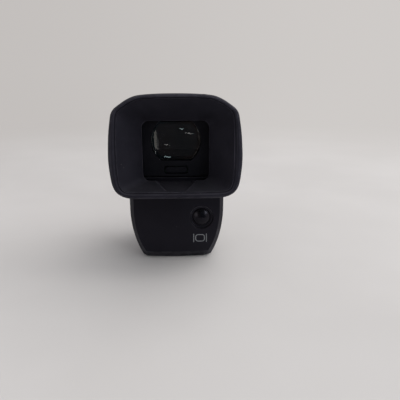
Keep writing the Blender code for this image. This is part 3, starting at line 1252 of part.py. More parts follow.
def make_eyecup_clip(material):
    """Hard ring bonded inside the rubber that slips over the collar."""
    start = -CUP_REAR + CUP_OPENING_DEPTH + CUP_EDGE + GAP
    ring = along_y("ring", collar_outline(GAP + CUP_CLIP_WALL), start, CUP_FRONT)
    cut(ring, along_y("room", collar_outline(GAP), start - OVERRUN, CUP_FRONT + OVERRUN))
    cut(ring, below_legs(start - OVERRUN, CUP_FRONT + OVERRUN))
    return finish(ring, "eyecup_clip", material)


def rack_limits():
    """Top of the rack's solid part, and its height at the pitch line."""
    pitch_z = DIAL_Z - GEAR_RADIUS
    return pitch_z - GEAR_MODULE * 1.25, pitch_z


def make_optics_barrel(material):
    half = BARREL_WIDTH / 2
    tall = BARREL_HEIGHT / 2
    barrel = box("barrel", (-half, half), (-BARREL_REAR, -BARREL_FRONT),
                 (LENS_Z - tall, LENS_Z + tall))
    inner = box("inner", (-half + BARREL_WALL, half - BARREL_WALL),
                (-BARREL_REAR + BARREL_WALL, -BARREL_FRONT + OVERRUN),
                (LENS_Z - tall + BARREL_WALL, LENS_Z + tall - BARREL_WALL))
    cut(barrel, inner)
    window = along_y("window", cut_circle(LENS_RADIUS, LENS_HALF_HEIGHT, LENS_Z),
                     -BARREL_REAR - OVERRUN, -BARREL_REAR + BARREL_WALL + OVERRUN)
    cut(barrel, window)
    arm_low, arm_high = rack_arm()
    reach = rack_length() / 2 + RACK_SLOT_PLAY
    slot = box("slot", (half - BARREL_WALL - OVERRUN, half + OVERRUN),
               (DIAL_Y - reach, DIAL_Y + reach), (arm_low - GAP, arm_high + GAP))
    cut(barrel, slot)
    return finish(barrel, "optics_barrel", material)


def rack_length():
    return RACK_TEETH * math.pi * GEAR_MODULE


def rack_arm():
    root, pitch_z = rack_limits()
    return root - RACK_HEIGHT, root


def tooth_half(share):
    return share * math.pi * GEAR_MODULE / 2 - GEAR_PLAY


def make_lens_carriage(material):
    """Sliding lens frame with a rack on its right side."""
    half = BARREL_WIDTH / 2 - BARREL_WALL - GAP
    tall = BARREL_HEIGHT / 2 - BARREL_WALL - GAP
    start = -CARRIAGE_CENTRE - CARRIAGE_LENGTH / 2
    end = start + CARRIAGE_LENGTH
    carriage = box("carriage", (-half, half), (start, end), (LENS_Z - tall, LENS_Z + tall))
    middle = (start + end) / 2
    seat_radius = LENS_RADIUS + LENS_LIP + GAP
    seat_half = LENS_HALF_HEIGHT + LENS_LIP + GAP
    rear_room = along_y("rear_room", cut_circle(seat_radius, seat_half, LENS_Z),
                        start - OVERRUN, middle - CARRIAGE_WALL / 2)
    front_room = along_y("front_room", cut_circle(seat_radius, seat_half, LENS_Z),
                         middle + CARRIAGE_WALL / 2, end + OVERRUN)
    light_way = along_y("light_way", cut_circle(LENS_RADIUS - LENS_LIP,
                                                LENS_HALF_HEIGHT - LENS_LIP, LENS_Z),
                        start, end)
    cut(carriage, rear_room)
    cut(carriage, front_room)
    cut(carriage, light_way)
    root, pitch_z = rack_limits()
    rack_low, rack_high = rack_arm()
    outer = HALF_BODY - DIAL_RECESS - WALL - GAP
    inner = outer - RACK_WIDTH
    length = rack_length()
    left_end = DIAL_Y - length / 2
    points = [(left_end, rack_low), (left_end + length, rack_low), (left_end + length, root)]
    pitch = math.pi * GEAR_MODULE
    tip_z = pitch_z + GEAR_MODULE
    for number in reversed(range(RACK_TEETH)):
        centre = left_end + (number + 0.5) * pitch
        base_half = tooth_half(TOOTH_ROOT_SHARE)
        top_half = tooth_half(TOOTH_TIP_SHARE)
        points += [(centre + base_half, root), (centre + top_half, tip_z),
                   (centre - top_half, tip_z), (centre - base_half, root)]
    points.append((left_end, root))
    rack = along_x("rack", points, inner, outer)
    arm = box("arm", (half - GAP, inner + RACK_WIDTH / 2),
              (left_end + GAP, left_end + length - GAP), (rack_low + GAP / 2, root - GAP / 2))
    join(rack, arm)
    join(carriage, rack)
    return finish(carriage, "lens_carriage", material)


def make_inner_lens(name, seat, direction, material):
    """Lens in the carriage. The seat is its flat side, direction is +1 towards the front."""
    radius = LENS_RADIUS + LENS_LIP
    half = LENS_HALF_HEIGHT + LENS_LIP
    near = direction * GAP
    far = direction * INNER_LENS_THICKNESS
    profile = [(0, near), (radius, near), (radius, far)]
    count = ARC_STEPS // 2
    for step in range(1, count + 1):
        share = 1 - step / count
        profile.append((radius * share, far + direction * INNER_LENS_BULGE * (1 - share * share)))
    lens = turned("lens", profile, (0, seat, LENS_Z), "Y", FINE_STEPS)
    wide = radius + OVERRUN
    keep(lens, box("flats", (-wide, wide), (seat - 4 * LENS_BODY, seat + 4 * LENS_BODY),
                   (LENS_Z - half, LENS_Z + half)))
    return finish(lens, name, material)


def make_diopter_dial(material):
    """Knurled dial outside the tube, its shaft and the pinion inside."""
    outer = HALF_BODY + DIAL_STAND
    inner = HALF_BODY - DIAL_RECESS + GAP
    points = []
    for number in range(DIAL_KNURLS):
        for share, radius in ((0, DIAL_RADIUS), (0.25, DIAL_RADIUS), (0.5, DIAL_RADIUS),
                              (0.75, DIAL_RADIUS - DIAL_KNURL_DEPTH)):
            if share == 0.25:
                continue
            angle = 2 * math.pi * (number + share) / DIAL_KNURLS
            points.append((DIAL_Y + radius * math.cos(angle), DIAL_Z + radius * math.sin(angle)))
    dial = along_x("dial", points, inner, outer)
    shaft_start = HALF_BODY - DIAL_RECESS - WALL - GAP - RACK_WIDTH - GAP
    shaft = rod("shaft", DIAL_SHAFT_RADIUS, (0, DIAL_Y, DIAL_Z), "X",
                HALF_BODY - DIAL_RECESS - WALL - GAP, inner + GAP)
    join(dial, shaft)
    pitch_angle = 2 * math.pi / PINION_TEETH
    root = GEAR_RADIUS - GEAR_MODULE * 1.15
    tip = GEAR_RADIUS + GEAR_MODULE * 0.8
    teeth = []
    first = -math.pi / 2 + pitch_angle / 2
    for number in range(PINION_TEETH):
        middle = first + number * pitch_angle
        tip_half = tooth_half(TOOTH_TIP_SHARE) / tip
        base_half = tooth_half(TOOTH_ROOT_SHARE) / GEAR_RADIUS
        for radius, shift in ((root, -base_half), (tip, -tip_half), (tip, tip_half),
                              (root, base_half)):
            angle = middle + shift
            teeth.append((DIAL_Y + radius * math.cos(angle), DIAL_Z + radius * math.sin(angle)))
    pinion = along_x("pinion", teeth, shaft_start,
                     HALF_BODY - DIAL_RECESS - WALL - GAP + GAP / 2)
    join(dial, pinion)
    return finish(dial, "diopter_dial", material)


def make_display(materials):
    """Holder with its mask, the display and the light behind it."""
    half = bush_tail_x() - DISPLAY_SIDE + GAP
    tall = DISPLAY_HEIGHT / 2 + GAP
    start = -BARREL_FRONT + GAP
    stack = HOLDER_MASK + GAP + DISPLAY_THICKNESS + GAP + BACKLIGHT_THICKNESS
    holder = box("holder", (-half - HOLDER_WALL, half + HOLDER_WALL), (start, start + stack),
                 (LENS_Z - tall - HOLDER_WALL, LENS_Z + tall + HOLDER_WALL))
    cut(holder, box("room", (-half, half), (start + HOLDER_MASK, start + stack + OVERRUN),
                    (LENS_Z - tall, LENS_Z + tall)))
    view = HOLDER_WALL
    cut(holder, box("view", (-half + view, half - view), (start - OVERRUN, start + stack),
                    (LENS_Z - tall + view, LENS_Z + tall - view)))
    finish(holder, "display_holder", materials["inner"])
    panel_start = start + HOLDER_MASK + GAP
    panel = box("panel", (-half + GAP, half - GAP),
                (panel_start, panel_start + DISPLAY_THICKNESS),
                (LENS_Z - tall + GAP, LENS_Z + tall - GAP))
    finish(panel, "display_panel", materials["display"])
    light_start = panel_start + DISPLAY_THICKNESS + GAP
    light = box("light", (-half + GAP, half - GAP),
                (light_start, light_start + BACKLIGHT_THICKNESS - GAP),
                (LENS_Z - tall + GAP, LENS_Z + tall - GAP))
    finish(light, "backlight", materials["white"])
    board_start = MAIN_BOARD_FRONT
    wide = MAIN_BOARD_WIDTH / 2
    high = MAIN_BOARD_HEIGHT / 2
    board = box("board", (-wide, wide), (board_start, board_start + BOARD_THICKNESS),
                (HINGE_Z - high, HINGE_Z + high))
    finish(board, "main_board", materials["board"])
    chip_start = board_start + BOARD_THICKNESS + GAP
    chip = box("chip", (-CHIP_SIZE / 2, CHIP_SIZE / 2),
               (chip_start, chip_start + CHIP_THICKNESS),
               (HINGE_Z - CHIP_SIZE / 2, HINGE_Z + CHIP_SIZE / 2))
    finish(chip, "video_chip", materials["inner"])
    return board_start


def make_tube_flex(board_start, material):
    """Flexible circuit from the left bush to the main board."""
    x = -bush_tail_x() + GAP
    start = HINGE_Y - BUSH_BORE / 2
    strip = box("strip", (x + GAP, x + GAP + FLEX_THICKNESS), (start, board_start - GAP),
                (HINGE_Z - FLEX_WIDTH / 2, HINGE_Z + FLEX_WIDTH / 2))
    return finish(strip, "tube_flex", material)


def build():
    clear_scene()
    materials = {
        "shell": make_material("shell_plastic", (0.022, 0.022, 0.026), 0.5),
        "rubber": make_material("eyecup_rubber", (0.02, 0.02, 0.023), 0.7),
        "gloss": make_material("gloss_plastic", (0.012, 0.012, 0.014), 0.2),
        "inner": make_material("inner_plastic", (0.015, 0.015, 0.015), 0.6),
        "steel": make_material("steel", (0.6, 0.6, 0.6), 0.3, 1.0),
        "aluminium": make_material("aluminium", (0.75, 0.75, 0.76), 0.35, 1.0),
        "gold": make_material("gold_contact", (0.8, 0.6, 0.25), 0.3, 1.0),
        "board": make_material("circuit_board", (0.02, 0.09, 0.04), 0.5),
        "flex": make_material("flexible_circuit", (0.35, 0.17, 0.05), 0.5),
        "glass": make_material("lens_glass", (0.5, 0.55, 0.52), 0.05),
        "display": make_material("display_glass", (0.03, 0.03, 0.04), 0.1),
        "white": make_material("light_guide", (0.8, 0.8, 0.78), 0.4),
    }
    make_shoe_foot(materials["aluminium"])
    for number, (x, y) in enumerate(foot_screw_places(), start=1):
        screw("foot_screw_%d" % number, (x, y, GAP / 2), "Z", 1, FOOT_SCREW_LENGTH,
              materials["steel"])
    make_base_housing(materials["shell"])
    make_rear_panel(materials["shell"])
    for side, word in ((-1, "left"), (1, "right")):
        length = DROP_FRONT - PANEL_BACK - 2 * GAP
        screw("panel_screw_" + word,
              (side * PANEL_SCREW_X, DROP_FRONT - GAP / 2, -PANEL_SCREW_DROP), "Y", -1,
              length, materials["steel"])
    button_axis = joint_empty("button_axis", (BUTTON_X, PANEL_FACE, BUTTON_Z))
    hold(make_display_button(materials["gloss"]), button_axis)
    make_side_board(materials["board"])
    make_button_switch(materials["inner"])
    make_plug_shell(materials["steel"])
    make_plug_insert(materials["inner"])
    make_plug_contacts(materials["gold"])
    slider_way = joint_empty("lock_slider_way", (-HALF_BODY, LOCK_KNOB_FRONT, BASE_CEILING))
    hold(make_lock_slider(materials["shell"]), slider_way)
    pin_axis = joint_empty("lock_pin_axis", (0, LOCK_PIN_FRONT, 0))
    hold(make_lock_pin(materials["steel"]), pin_axis)
    make_lock_spring(materials["steel"])
    make_base_flex(materials["flex"])
    for side in (-1, 1):
        make_hinge_side(side, materials)

    hinge_axis = joint_empty("hinge_axis", (0, HINGE_Y, HINGE_Z))
    for shell in make_tube(materials):
        hold(shell, hinge_axis)
    head_z = HINGE_Z - TUBE_HEIGHT / 2 + TUBE_SCREW_SINK + GAP / 2
    for number, (x, y) in enumerate(tube_screw_places(), start=1):
        length = SEAM_Z + TUBE_SCREW_BITE - head_z - WALL
        hold(screw("tube_screw_%d" % number, (x, y, head_z), "Z", 1, length,
                   materials["steel"]), hinge_axis)
    hold(make_eyepiece_frame(materials["inner"]), hinge_axis)
    hold(make_eyepiece_lens(materials["glass"]), hinge_axis)
    hold(make_sensor_window(materials["gloss"]), hinge_axis)
    hold(make_sensor_board(materials), hinge_axis)
    hold(make_optics_barrel(materials["inner"]), hinge_axis)
    board_start = make_display(materials)
    for name in ("display_holder", "display_panel", "backlight", "main_board", "video_chip"):
        hold(bpy.data.objects[name], hinge_axis)
    hold(make_tube_flex(board_start, materials["flex"]), hinge_axis)

    cup_way = hold(joint_empty("eyecup_way", (0, CUP_FRONT, HINGE_Z)), hinge_axis)
    hold(make_eyecup(materials["rubber"]), cup_way)
    hold(make_eyecup_clip(materials["inner"]), cup_way)
    dial_axis = hold(joint_empty("dial_axis", (HALF_BODY, DIAL_Y, DIAL_Z)), hinge_axis)
    hold(make_diopter_dial(materials["gloss"]), dial_axis)
    carriage_way = hold(joint_empty("carriage_way", (0, -CARRIAGE_CENTRE, LENS_Z)), hinge_axis)
    hold(make_lens_carriage(materials["inner"]), carriage_way)
    middle = -CARRIAGE_CENTRE
    hold(make_inner_lens("inner_lens_rear", middle - CARRIAGE_WALL / 2, -1,
                         materials["glass"]), carriage_way)
    hold(make_inner_lens("inner_lens_front", middle + CARRIAGE_WALL / 2, 1,
                         materials["glass"]), carriage_way)


build()
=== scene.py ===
"""Looks of the clip-on electronic viewfinder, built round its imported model.

Lengths are metres. +Z is up, +Y points to the front of the camera, the eyepiece faces -Y,
and the origin is the centre of the underside of the shoe foot.
"""
import json
import math

import bmesh
import bpy
import numpy as np
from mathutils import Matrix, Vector


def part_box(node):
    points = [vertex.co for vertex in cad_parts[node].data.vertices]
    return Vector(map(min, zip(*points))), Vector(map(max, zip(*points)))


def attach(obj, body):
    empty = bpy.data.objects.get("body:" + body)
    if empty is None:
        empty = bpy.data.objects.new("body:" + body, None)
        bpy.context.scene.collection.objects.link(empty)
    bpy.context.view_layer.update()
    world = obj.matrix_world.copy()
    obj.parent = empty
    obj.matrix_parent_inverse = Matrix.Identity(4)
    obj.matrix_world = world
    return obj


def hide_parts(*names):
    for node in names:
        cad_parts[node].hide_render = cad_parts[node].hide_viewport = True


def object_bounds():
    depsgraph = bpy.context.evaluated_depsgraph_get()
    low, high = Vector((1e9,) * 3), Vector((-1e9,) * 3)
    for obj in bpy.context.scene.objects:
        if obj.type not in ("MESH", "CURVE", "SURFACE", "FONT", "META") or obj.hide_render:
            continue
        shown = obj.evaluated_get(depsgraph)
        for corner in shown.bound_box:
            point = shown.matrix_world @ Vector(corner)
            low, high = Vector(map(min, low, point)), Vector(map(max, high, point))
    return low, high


MM = 0.001
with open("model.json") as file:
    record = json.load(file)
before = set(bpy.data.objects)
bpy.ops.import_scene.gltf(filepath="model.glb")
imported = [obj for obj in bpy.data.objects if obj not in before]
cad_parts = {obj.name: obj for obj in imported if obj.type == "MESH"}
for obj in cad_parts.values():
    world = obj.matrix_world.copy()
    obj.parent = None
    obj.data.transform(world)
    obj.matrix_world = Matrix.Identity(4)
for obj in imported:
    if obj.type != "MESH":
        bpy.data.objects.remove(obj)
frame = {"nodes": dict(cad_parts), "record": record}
CAD_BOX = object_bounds()
NODES = frame["nodes"]
SCENE = bpy.context.scene
TURN_STEPS = 96
# Least value to divide by, and slack at the ends of an outline's spans
TINY = 1e-12
SLACK = 1e-9

# Sizes that the looks share with the source of the part
GAP = 0.3 * MM
HINGE_Z = 26.5 * MM
BODY_WIDTH = 30.4 * MM
TUBE_END = -26.5 * MM
BASE_TOP = 14.1 * MM
BASE_BOTTOM = 3.6 * MM
PANEL_FACE = -19.5 * MM
PANEL_BACK = -17.9 * MM

# Rubber eyecup
CUP_REAR = -37.5 * MM
CUP_FRONT = TUBE_END - GAP
CUP_WIDTH = 36.8 * MM
CUP_HEIGHT = 28.8 * MM
CUP_Z = 26.35 * MM
FUNNEL_WIDTH = 31.9 * MM
FUNNEL_HIGH = 13.1 * MM
FUNNEL_LOW = 12.35 * MM
SKIRT_WIDTH = 32.4 * MM
SKIRT_HEIGHT = 26.2 * MM
SKIRT_Z = HINGE_Z - 0.2 * MM
SKIRT_CORNER = 5.4 * MM
OPENING_WIDTH = 19.2 * MM
OPENING_LOW = 15.3 * MM
OPENING_HIGH = 32.9 * MM
OPENING_CORNER = 2.1 * MM
OPENING_DEPTH = 8.0 * MM
OPENING_EDGE = 0.5 * MM
ROOM_WIDTH = 25.4 * MM
ROOM_LOW = 12.3 * MM
ROOM_HIGH = 11.2 * MM
ROOM_CORNER = 4.0 * MM
# Height below which a point of the funnel or the opening belongs to its floor
FUNNEL_FLOOR_TOP = HINGE_Z - 5 * MM
# Share and depth of the funnel's first ring inside the lip, and share of its second
FUNNEL_MOUTH = (0.008, 0.06 * MM)
FUNNEL_START = 0.02
# How far the opening's edge spreads as it rounds, as a share of its radius
OPENING_EDGE_SHARE = 0.4
# Steps: on each span of an outline, along the skirt and down the funnel
OUTLINE_STEPS = 12
SKIRT_STEPS = 22
FUNNEL_STEPS = 28
# Half angle of the part round the notch, with steps in it and in the rest
NOTCH_ANGLE = 38
NOTCH_STEPS = 220
ROUND_STEPS = 420
# Notch at the bottom of the opening: half widths and floor at its rear and front ends,
# slope and wall of its floor behind the opening, and width of the painted highlight line on its
# edges
NOTCH_REAR = -36.5 * MM
NOTCH_FRONT = -29.5 * MM
NOTCH_FLOOR_HALF = (2.3 * MM, 4.3 * MM)
NOTCH_TOP_HALF = (2.8 * MM, 5.9 * MM)
NOTCH_FLOOR_Z = (13.75 * MM, 14.25 * MM)
NOTCH_SLOPE = 0.085
NOTCH_WALL = 0.5 * MM
NOTCH_LINE = 0.45 * MM
# Outlines as shares of the half sizes, from the top middle down the right side
RIM_SHARES = (
    (0.0, 1.0), (0.25, 0.995), (0.45, 0.979), (0.575, 0.955), (0.69, 0.895), (0.80, 0.805),
    (0.885, 0.72), (0.929, 0.628), (0.952, 0.48), (0.977, 0.26), (0.993, 0.01), (1.0, -0.19),
    (0.994, -0.40), (0.970, -0.66), (0.927, -0.822), (0.845, -0.925), (0.70, -0.988),
    (0.45, -0.998), (0.0, -1.0))
FUNNEL_SHARES = (
    (0.0, 1.0), (0.30, 0.994), (0.57, 0.980), (0.704, 0.926), (0.80, 0.860), (0.880, 0.795),
    (0.945, 0.725), (0.972, 0.64), (0.985, 0.50), (0.993, 0.30), (1.0, 0.045), (1.0, -0.25),
    (0.999, -0.497), (0.985, -0.763), (0.948, -0.911), (0.873, -0.977), (0.75, -0.993),
    (0.50, -0.998), (0.0, -1.0))
# Directions of the corners, right side: of the funnel's outline and of the opening
FUNNEL_CORNERS = (35.0, -39.5)
OPENING_CORNERS = (42.5, -42.5)
# Lip, cut across: share of its width from the outside in, and depth in mm
LIP_SECTION = (
    (0.0, 1.10), (0.008, 0.90), (0.028, 0.70), (0.058, 0.52), (0.098, 0.37), (0.145, 0.25),
    (0.190, 0.17), (0.232, 0.12), (0.258, 0.115), (0.276, 0.19), (0.296, 0.19), (0.314, 0.095),
    (0.345, 0.055), (0.42, 0.015), (0.51, 0.0), (0.59, 0.015), (0.65, 0.06), (0.70, 0.13),
    (0.74, 0.22), (0.78, 0.32), (0.82, 0.39), (0.85, 0.41), (0.88, 0.385), (0.91, 0.31),
    (0.935, 0.24), (0.957, 0.20), (0.98, 0.21), (1.0, 0.27))
# Skirt: share of its length from the front, share of its flare, and reach of the softening
SKIRT_SHARES = ((0.0, 0.0), (0.22, 0.12), (0.55, 0.5), (0.87, 0.94), (1.0, 1.0))
SKIRT_BLEND = 0.08
# Bends, in 1/m, from which the rubber's edges start to take the lighter edge tone and take it in
# full:
# partly scuffing, partly painted highlight lines on the rims
CUP_PROUD = (350.0, 2200.0)

# Knob of the lock slider, on the left side of the base: its face, and its reach in Y and Z
KNOB_X = -16.2 * MM
KNOB_Y = (1.2 * MM, 5.2 * MM)
KNOB_Z = (7.45 * MM, 10.25 * MM)

# Eyepiece lens
LENS_Z = 26.65 * MM
LENS_CLEAR = 7.15 * MM
LENS_FLANGE = 7.95 * MM
LENS_HALF = 5.65 * MM
LENS_FLANGE_HALF = 6.45 * MM
LENS_VERTEX = -25.9 * MM
LENS_SEAT = -24.3 * MM
LENS_BACK = -22.1 * MM
LENS_CURVE = 23.8 * MM
LENS_BACK_CURVE = 58.0 * MM
LENS_CHAMFER = 0.16 * MM
LENS_STEPS = 144
LENS_ROWS = 18
LENS_POLE = 0.002   # share at which the smallest ring of a face lies

# Rear panel, its button and the mark under it
DROP_REACH = 13.6 * MM
DROP_BOW = 1.1 * MM
DROP_SIDE_RADIUS = 37.5 * MM
DROP_CORNER_RADIUS = 1.9 * MM
SIDE_STEPS = 28
LOW_STEPS = 16
PANEL_SIDE_SLOPE = 1.3 * MM
PANEL_LOW_SLOPE = 2.5 * MM
PANEL_SLOPE_DEPTH = 1.40 * MM
# Sloping edge of the panel: share of its depth from the face, share of its width
PANEL_SLOPE = (((PANEL_BACK - PANEL_FACE) / PANEL_SLOPE_DEPTH, 0.0), (1.06, 0.0),
               (0.99, 0.02), (0.93, 0.07), (0.84, 0.17), (0.12, 0.88), (0.06, 0.94),
               (0.02, 0.98), (0.0, 1.03))
BUTTON_X = 8.0 * MM
BUTTON_Z = 0.5 * MM
BUTTON_RADIUS = 2.85 * MM
BUTTON_STAND = 0.35 * MM
BUTTON_EDGE = 0.35 * MM
BUTTON_DROP = 0.76 * MM
SHAFT_RADIUS = 0.9 * MM
DOME_STEPS = 14
BUTTON_PROUD = (600.0, 3500.0)
# Normals of the lower sloping faces, given a painted reflection of the table: limits of their Z
# and of their Y
SLOPE_DOWNWARD = -0.15
SLOPE_REARWARD = (-0.97, -0.3)
RECESS_RADIUS = 3.84 * MM
RECESS_DEPTH = 0.7 * MM
RECESS_ROUND = 0.22 * MM
# Small turn at the recess floor: out and up on its wall, in on its floor
RECESS_FOOT = (0.1 * MM, 0.08 * MM)
CUTTER_STAND = 1.0 * MM
CUTTER_LENGTH = 4 * MM
MARK_X = 7.50 * MM
MARK_Z = -6.58 * MM
MARK_LINE = 0.26 * MM
SCREEN_WIDTH = 3.15 * MM
SCREEN_HEIGHT = 2.55 * MM
SCREEN_CORNERS = (0.95 * MM, 0.65 * MM)
BAR_REACH = 2.1 * MM
BAR_HEIGHT = 2.95 * MM
INK_DEPTH = 0.02 * MM
# Signs beside the dial: distance from its rim, and length of a bar
SIGN_GAP = 1.5 * MM
SIGN_LENGTH = 1.1 * MM


# ---------------------------------------------------------------- meshes

def link(name, data):
    thing = bpy.data.objects.new(name, data)
    SCENE.collection.objects.link(thing)
    return thing


def mesh_object(name, points, faces, turn=True):
    """New object from points and faces, with its faces pointing outwards."""
    mesh = bpy.data.meshes.new(name)
    mesh.from_pydata([tuple(point) for point in points], [], faces)
    shape = bmesh.new()
    shape.from_mesh(mesh)
    bmesh.ops.remove_doubles(shape, verts=shape.verts, dist=0.0002 * MM)
    if turn:
        bmesh.ops.recalc_face_normals(shape, faces=shape.faces)
    shape.to_mesh(mesh)
    shape.free()
    return link(name, mesh)


def ring_faces(count, first, second):
    faces = []
    for here in range(count):
        after = (here + 1) % count
        faces.append((first * count + here, first * count + after,
                      second * count + after, second * count + here))
    return faces


def lofted(name, rings, closed=False):
    """Solid through rings of equal counts, capped at its ends or closed on itself."""
    count = len(rings[0])
    points = [point for ring in rings for point in ring]
    faces = []
    for number in range(len(rings) - 1):
        faces += ring_faces(count, number, number + 1)
    if closed:
        faces += ring_faces(count, len(rings) - 1, 0)
    else:
        faces.append(tuple(range(count)))
        faces.append(tuple(range(len(points) - count, len(points))))
    return mesh_object(name, points, faces)


def full_turn(steps):
    """Angles all round, without the last, which is the first again."""
    return [2 * math.pi * step / steps for step in range(steps)]


def turned(name, profile, centre):
    """Solid of revolution about Y through centre, from (radius, distance along Y) points."""
    x, y, z = centre
    return lofted(name, [[(x + radius * math.cos(angle), y + along, z + radius * math.sin(angle))
                          for angle in full_turn(TURN_STEPS)] for radius, along in profile])


def arc(centre, radius, start, stop, steps):
    points = []
    for step in range(steps + 1):
        angle = math.radians(start + (stop - start) * step / steps)
        points.append((centre[0] + radius * math.cos(angle),
                       centre[1] + radius * math.sin(angle)))
    return points


def quarter_turn(steps):
    """Angles from 0 to a right angle."""
    return [math.radians(90 * step / steps) for step in range(steps + 1)]


def rounded_box(width, height, corner, middle_x=0.0, middle_z=0.0, steps=16):
    across = width / 2 - corner
    up = height / 2 - corner
    points = []
    for side_x, side_z, start in ((1, 1, 0), (-1, 1, 90), (-1, -1, 180), (1, -1, 270)):
        centre = (middle_x + side_x * across, middle_z + side_z * up)
        points += arc(centre, corner, start, start + 90, steps)
    return points


def cut_away(body, tool):
    made = body.modifiers.new("cut", "BOOLEAN")
    made.operation = "DIFFERENCE"
    made.solver = "EXACT"
    made.object = tool
    ready = body.evaluated_get(bpy.context.evaluated_depsgraph_get())
    mesh = bpy.data.meshes.new_from_object(ready)
    body.modifiers.remove(made)
    body.data = mesh
    bpy.data.objects.remove(tool, do_unlink=True)


def smooth(thing, angle=40):
    """Smooth shading with crisp edges, and flat faces that stay flat."""
    mesh = thing.data
    mesh.shade_smooth()
    mesh.set_sharp_from_angle(angle=math.radians(angle))
    made = thing.modifiers.new("normals", "WEIGHTED_NORMAL")
    made.keep_sharp = True
    made.weight = 80


def bevelled(node, name, width):
    """Copy of a CAD node with its sharp edges rounded, and the rounded faces marked as edge."""
    mesh = NODES[node].data.copy()
    mesh.name = name
    shape = bmesh.new()
    shape.from_mesh(mesh)
    bmesh.ops.remove_doubles(shape, verts=shape.verts, dist=0.001 * MM)
    bmesh.ops.dissolve_limit(shape, angle_limit=math.radians(0.5), verts=shape.verts,
                             edges=shape.edges)
    edge_tone = shape.faces.layers.float.new("edge")
    sharp = [edge for edge in shape.edges
             if len(edge.link_faces) == 2
             and edge.calc_face_angle(0) > math.radians(28)]
    made = bmesh.ops.bevel(shape, geom=sharp, offset=width, offset_type="OFFSET",
                           segments=2, profile=0.5, affect="EDGES",
                           clamp_overlap=False, loop_slide=True)
    for face in made["faces"]:
        face[edge_tone] = 1.0
    shape.to_mesh(mesh)
    shape.free()
    thing = link(name, mesh)
    smooth(thing)
    return thing


def read_vectors(items, label):
    """Array of the same vector of every item of a mesh."""
    values = np.zeros(len(items) * 3)
    items.foreach_get(label, values)
    return values.reshape(-1, 3)


def mark_curved(thing, low, high):
    """Store how strongly each point of a fine mesh stands proud, as the attribute edge."""
    mesh = thing.data
    places = read_vectors(mesh.vertices, "co")
    normals = read_vectors(mesh.vertex_normals, "vector")
    pairs = np.zeros(len(mesh.edges) * 2, int)
    mesh.edges.foreach_get("vertices", pairs)
    pairs = pairs.reshape(-1, 2)
    total = np.zeros(len(places))
    number = np.zeros(len(places))
    for one, other in ((0, 1), (1, 0)):
        start = pairs[:, one]
        step = places[start] - places[pairs[:, other]]
        length = np.maximum((step ** 2).sum(1), TINY)
        bend = (normals[start] * step).sum(1) / length
        np.add.at(total, start, bend)
        np.add.at(number, start, 1)
    proud = np.clip((2 * total / np.maximum(number, 1) - low) / (high - low), 0, 1)
    layer = mesh.attributes.new("edge", "FLOAT", "POINT")
    layer.data.foreach_set("value", proud.astype(np.float32))


# ---------------------------------------------------------------- node trees

SOCKET_SORTS = {tuple: "NodeSocketVector", float: "NodeSocketFloat", int: "NodeSocketInt"}


def fill(tree, node, inputs):
    """Set the inputs of a node, and link those for which a socket is given."""
    for label, value in inputs.items():
        if isinstance(value, bpy.types.NodeSocket):
            tree.links.new(value, node.inputs[label])
        else:
            node.inputs[label].default_value = value


def add(tree, kind, inputs, **settings):
    """New node with its settings and inputs."""
    node = tree.nodes.new(kind)
    for name, value in settings.items():
        setattr(node, name, value)
    fill(tree, node, inputs)
    return node


def name_inputs(tree, inputs):
    for label, value in inputs.items():
        socket = tree.interface.new_socket(label, in_out="INPUT",
                                           socket_type=SOCKET_SORTS[type(value)])
        socket.default_value = value


def group_tree(name, inputs, outputs):
    """Shader node group: its tree, the sockets of its named inputs, and its end node."""
    tree = bpy.data.node_groups.new(name, "ShaderNodeTree")
    name_inputs(tree, inputs)
    for label in outputs:
        tree.interface.new_socket(label, in_out="OUTPUT", socket_type="NodeSocketFloat")
    given = tree.nodes.new("NodeGroupInput").outputs
    return tree, given, tree.nodes.new("NodeGroupOutput")


def place_group(tree, group, inputs):
    return add(tree, "ShaderNodeGroup", inputs, node_tree=group).outputs


def math_node(tree, operation, *terms, clamp=False):
    return add(tree, "ShaderNodeMath", dict(enumerate(terms)), operation=operation,
               use_clamp=clamp).outputs[0]


def noise_node(tree, vector, scale, detail=3.0, roughness=0.55):
    return add(tree, "ShaderNodeTexNoise", {"Vector": vector, "Scale": scale, "Detail": detail,
                                            "Roughness": roughness}).outputs["Fac"]


def spread_node(tree, value, low, high, out_low=0.0, out_high=1.0):
    return add(tree, "ShaderNodeMapRange",
               {"Value": value, "From Min": low, "From Max": high, "To Min": out_low,
                "To Max": out_high}, interpolation_type="SMOOTHSTEP").outputs["Result"]


def mix_colour(tree, factor, first, second):
    node = add(tree, "ShaderNodeMix", {}, data_type="RGBA")
    first, second = ((*value, 1.0) if isinstance(value, tuple) else value
                     for value in (first, second))
    fill(tree, node, {"Factor": factor, 6: first, 7: second})
    return node.outputs[2]


def axis_of(tree, vector, axis):
    return add(tree, "ShaderNodeSeparateXYZ", {"Vector": vector}).outputs[axis]


def stretched(tree, place, scale):
    """Place scaled unevenly, for streaks and tracks."""
    return add(tree, "ShaderNodeMapping", {"Vector": place, "Scale": scale}).outputs["Vector"]


def raise_grain(tree, shader, height, strength, distance):
    bump = add(tree, "ShaderNodeBump",
               {"Strength": strength, "Distance": distance, "Height": height})
    tree.links.new(bump.outputs["Normal"], shader.inputs["Normal"])


# ---------------------------------------------------------------- effects

